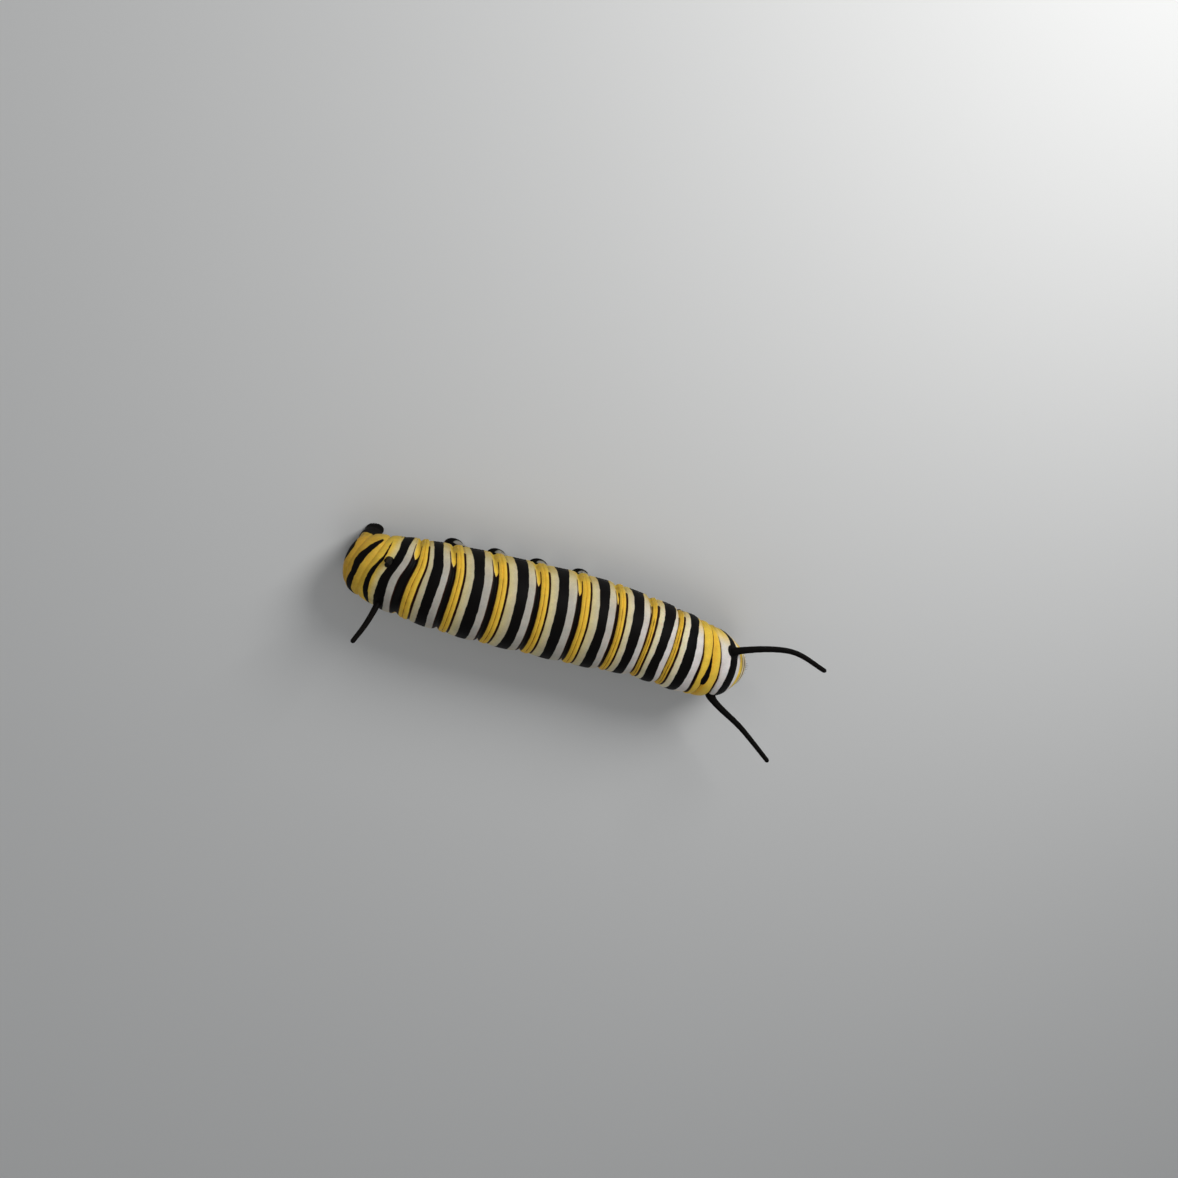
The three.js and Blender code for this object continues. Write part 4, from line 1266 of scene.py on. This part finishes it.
def buildSpiracles():
    rings = ["thorax_1"] + [f"abdomen_{n}" for n in range(1, 9)]
    grids = []
    for name in rings:
        s = placeOnRing(name, spiracles["shareOfRing"])
        for side in (1, -1):
            degrees = side * spiracles["fromTop"]
            angle = math.radians(degrees)
            swell = float(skinRelief(patternPlace(np.array(s), degrees), np.array(degrees)))
            centre = skinPoint(s, angle, swell)
            along = skinPoint(s - 0.05, angle, swell) - skinPoint(s + 0.05, angle, swell)
            across = skinPoint(s, angle + 0.02, swell) - skinPoint(s, angle - 0.02, swell)
            along, across = along / np.linalg.norm(along), across / np.linalg.norm(across)
            outward = np.cross(along, across)
            if outward @ (centre - bodyFrame(s)[0]) < 0:
                outward = -outward
            grow = spiracles["larger"].get(name, 1.0)
            turn = (np.arange(24) / 24 * 2 * math.pi)[:, None]
            oval = np.cos(turn) * along * spiracles["broad"] + np.sin(turn) * across * spiracles["tall"]
            rows = [centre + oval * grow * size + outward * lift for size, lift in spiracles["steps"]]
            grids.append(np.array(rows))
    gridPiece("spiracles", grids, cloudedMaterial("spiracleRim", spiracles["finish"]))
    print("breathing holes built:", len(grids))


buildSpiracles()

# Short stiff hairs on the head and the soft legs, all in one piece
hairs = dict(
    seed=11, radius=0.014,
    onHead=110, headLength=(0.12, 0.3),
    headAside=(-120, 120), headAbove=(-50, 70),  # degrees from the middle of the face
    onSoftLeg=16, softLegLength=(0.1, 0.2), softLegHeight=(0.25, 1.0), softLegRadius=1.0,
    unevenness=0.18,
)


def hairAt(root, outward, droop, length, random):
    direction = outward + droop + random.normal(0, hairs["unevenness"], 3)
    direction /= np.linalg.norm(direction)
    base, tip = root - outward * 0.03, root + direction * length
    return spikeGrid(base, tip, hairs["radius"], around=5, rows=5, bend=outward * length * 0.1)


def buildHairs(material):
    random = np.random.default_rng(hairs["seed"])
    grids = []
    while len(grids) < hairs["onHead"]:
        toPoint = headDirection(random.uniform(*hairs["headAside"]), random.uniform(*hairs["headAbove"]))
        root = headPoint(toPoint)
        outward = headPoint(toPoint, 1.0) - root
        outward /= np.linalg.norm(outward)
        grids.append(hairAt(root, outward, face * 0.35, random.uniform(*hairs["headLength"]), random))
    low, high = hairs["softLegHeight"]
    softLegs = [(kind, name) for kind in (prolegs, tailLegs) for name in kind["feetBack"]]
    for kind, name in softLegs:
        point, forward, left = bodyFrame(placeOnRing(name, kind["along"]))[:3]
        foot = point - forward * kind["feetBack"][name]
        for side in (1, -1):
            middle = foot + side * left * kind["footOut"]
            offMiddle = np.hypot(skinPoints[..., 0] - middle[0], skinPoints[..., 1] - middle[1])
            height = skinPoints[..., 2]
            onLeg = skinPoints[(offMiddle < hairs["softLegRadius"]) & (height > low) & (height < high)]
            for choice in random.choice(len(onLeg), hairs["onSoftLeg"], replace=False):
                root = onLeg[choice]
                outward = root - middle
                outward[2] = 0.15
                outward /= np.linalg.norm(outward)
                length = random.uniform(*hairs["softLegLength"])
                grids.append(hairAt(root, outward, np.array([0, 0, -0.35]), length, random))
    gridPiece("shortHairs", grids, material)
    print("hairs built:", len(grids))


buildHairs(limbs)

# The studio: a pale floor and large soft lights
studio = dict(
    floorSize=900,
    floorColour=(0.7, 0.7, 0.69, 1.0),
    surroundings=0.24,
    lights=[
        # name, how far right, up and toward the camera it stands, distance, size, watts
        ("keyLight", 0.66, 0.4, 0.72, 125, 60, 0.098),
        ("fillLight", -0.75, 0.1, 0.75, 280, 220, 0.06),
        ("rimLight", 0.2, -0.8, 0.55, 260, 160, 0.05),
    ],
)


def buildStudio():
    half = studio["floorSize"] / 2 * mm
    mesh = bpy.data.meshes.new("studioFloor")
    corners = [(-half, -half, 0), (half, -half, 0), (half, half, 0), (-half, half, 0)]
    mesh.from_pydata(corners, [], [(0, 1, 2, 3)])
    material, tree, shader = newMaterial("paleFloor")
    place = objectPlace(tree)
    darker = tuple(0.97 * part for part in studio["floorColour"][:3]) + (1.0,)
    colour = mixColour(tree, noiseNode(tree, place, 14.0, 3.0), darker, studio["floorColour"])
    tree.links.new(colour, shader.inputs["Base Color"])
    shader.inputs["Roughness"].default_value = 0.85
    mesh.materials.append(material)
    floor = bpy.data.objects.new("studioFloor", mesh)
    bpy.context.scene.collection.objects.link(floor)
    world = bpy.data.worlds.new("softRoom")
    world.use_nodes = True
    world.node_tree.nodes["Background"].inputs["Color"].default_value = (0.93, 0.96, 1.0, 1.0)
    world.node_tree.nodes["Background"].inputs["Strength"].default_value = studio["surroundings"]
    bpy.context.scene.world = world
    right, upward, toCamera = viewAxes()
    target = np.array(view["aimPoint"])
    for name, aside, above, near, distance, size, watts in studio["lights"]:
        direction = right * aside + upward * above + toCamera * near
        direction /= np.linalg.norm(direction)
        light = bpy.data.lights.new(name, "AREA")
        light.shape = "DISK"
        light.size = size * mm
        light.energy = watts
        holder = bpy.data.objects.new(name, light)
        holder.location = Vector((target + direction * distance) * mm)
        holder.rotation_euler = Vector(-direction).to_track_quat("-Z", "Y").to_euler()
        bpy.context.scene.collection.objects.link(holder)
    bpy.context.scene.view_settings.view_transform = "Standard"
    print("studio lit")


buildStudio()
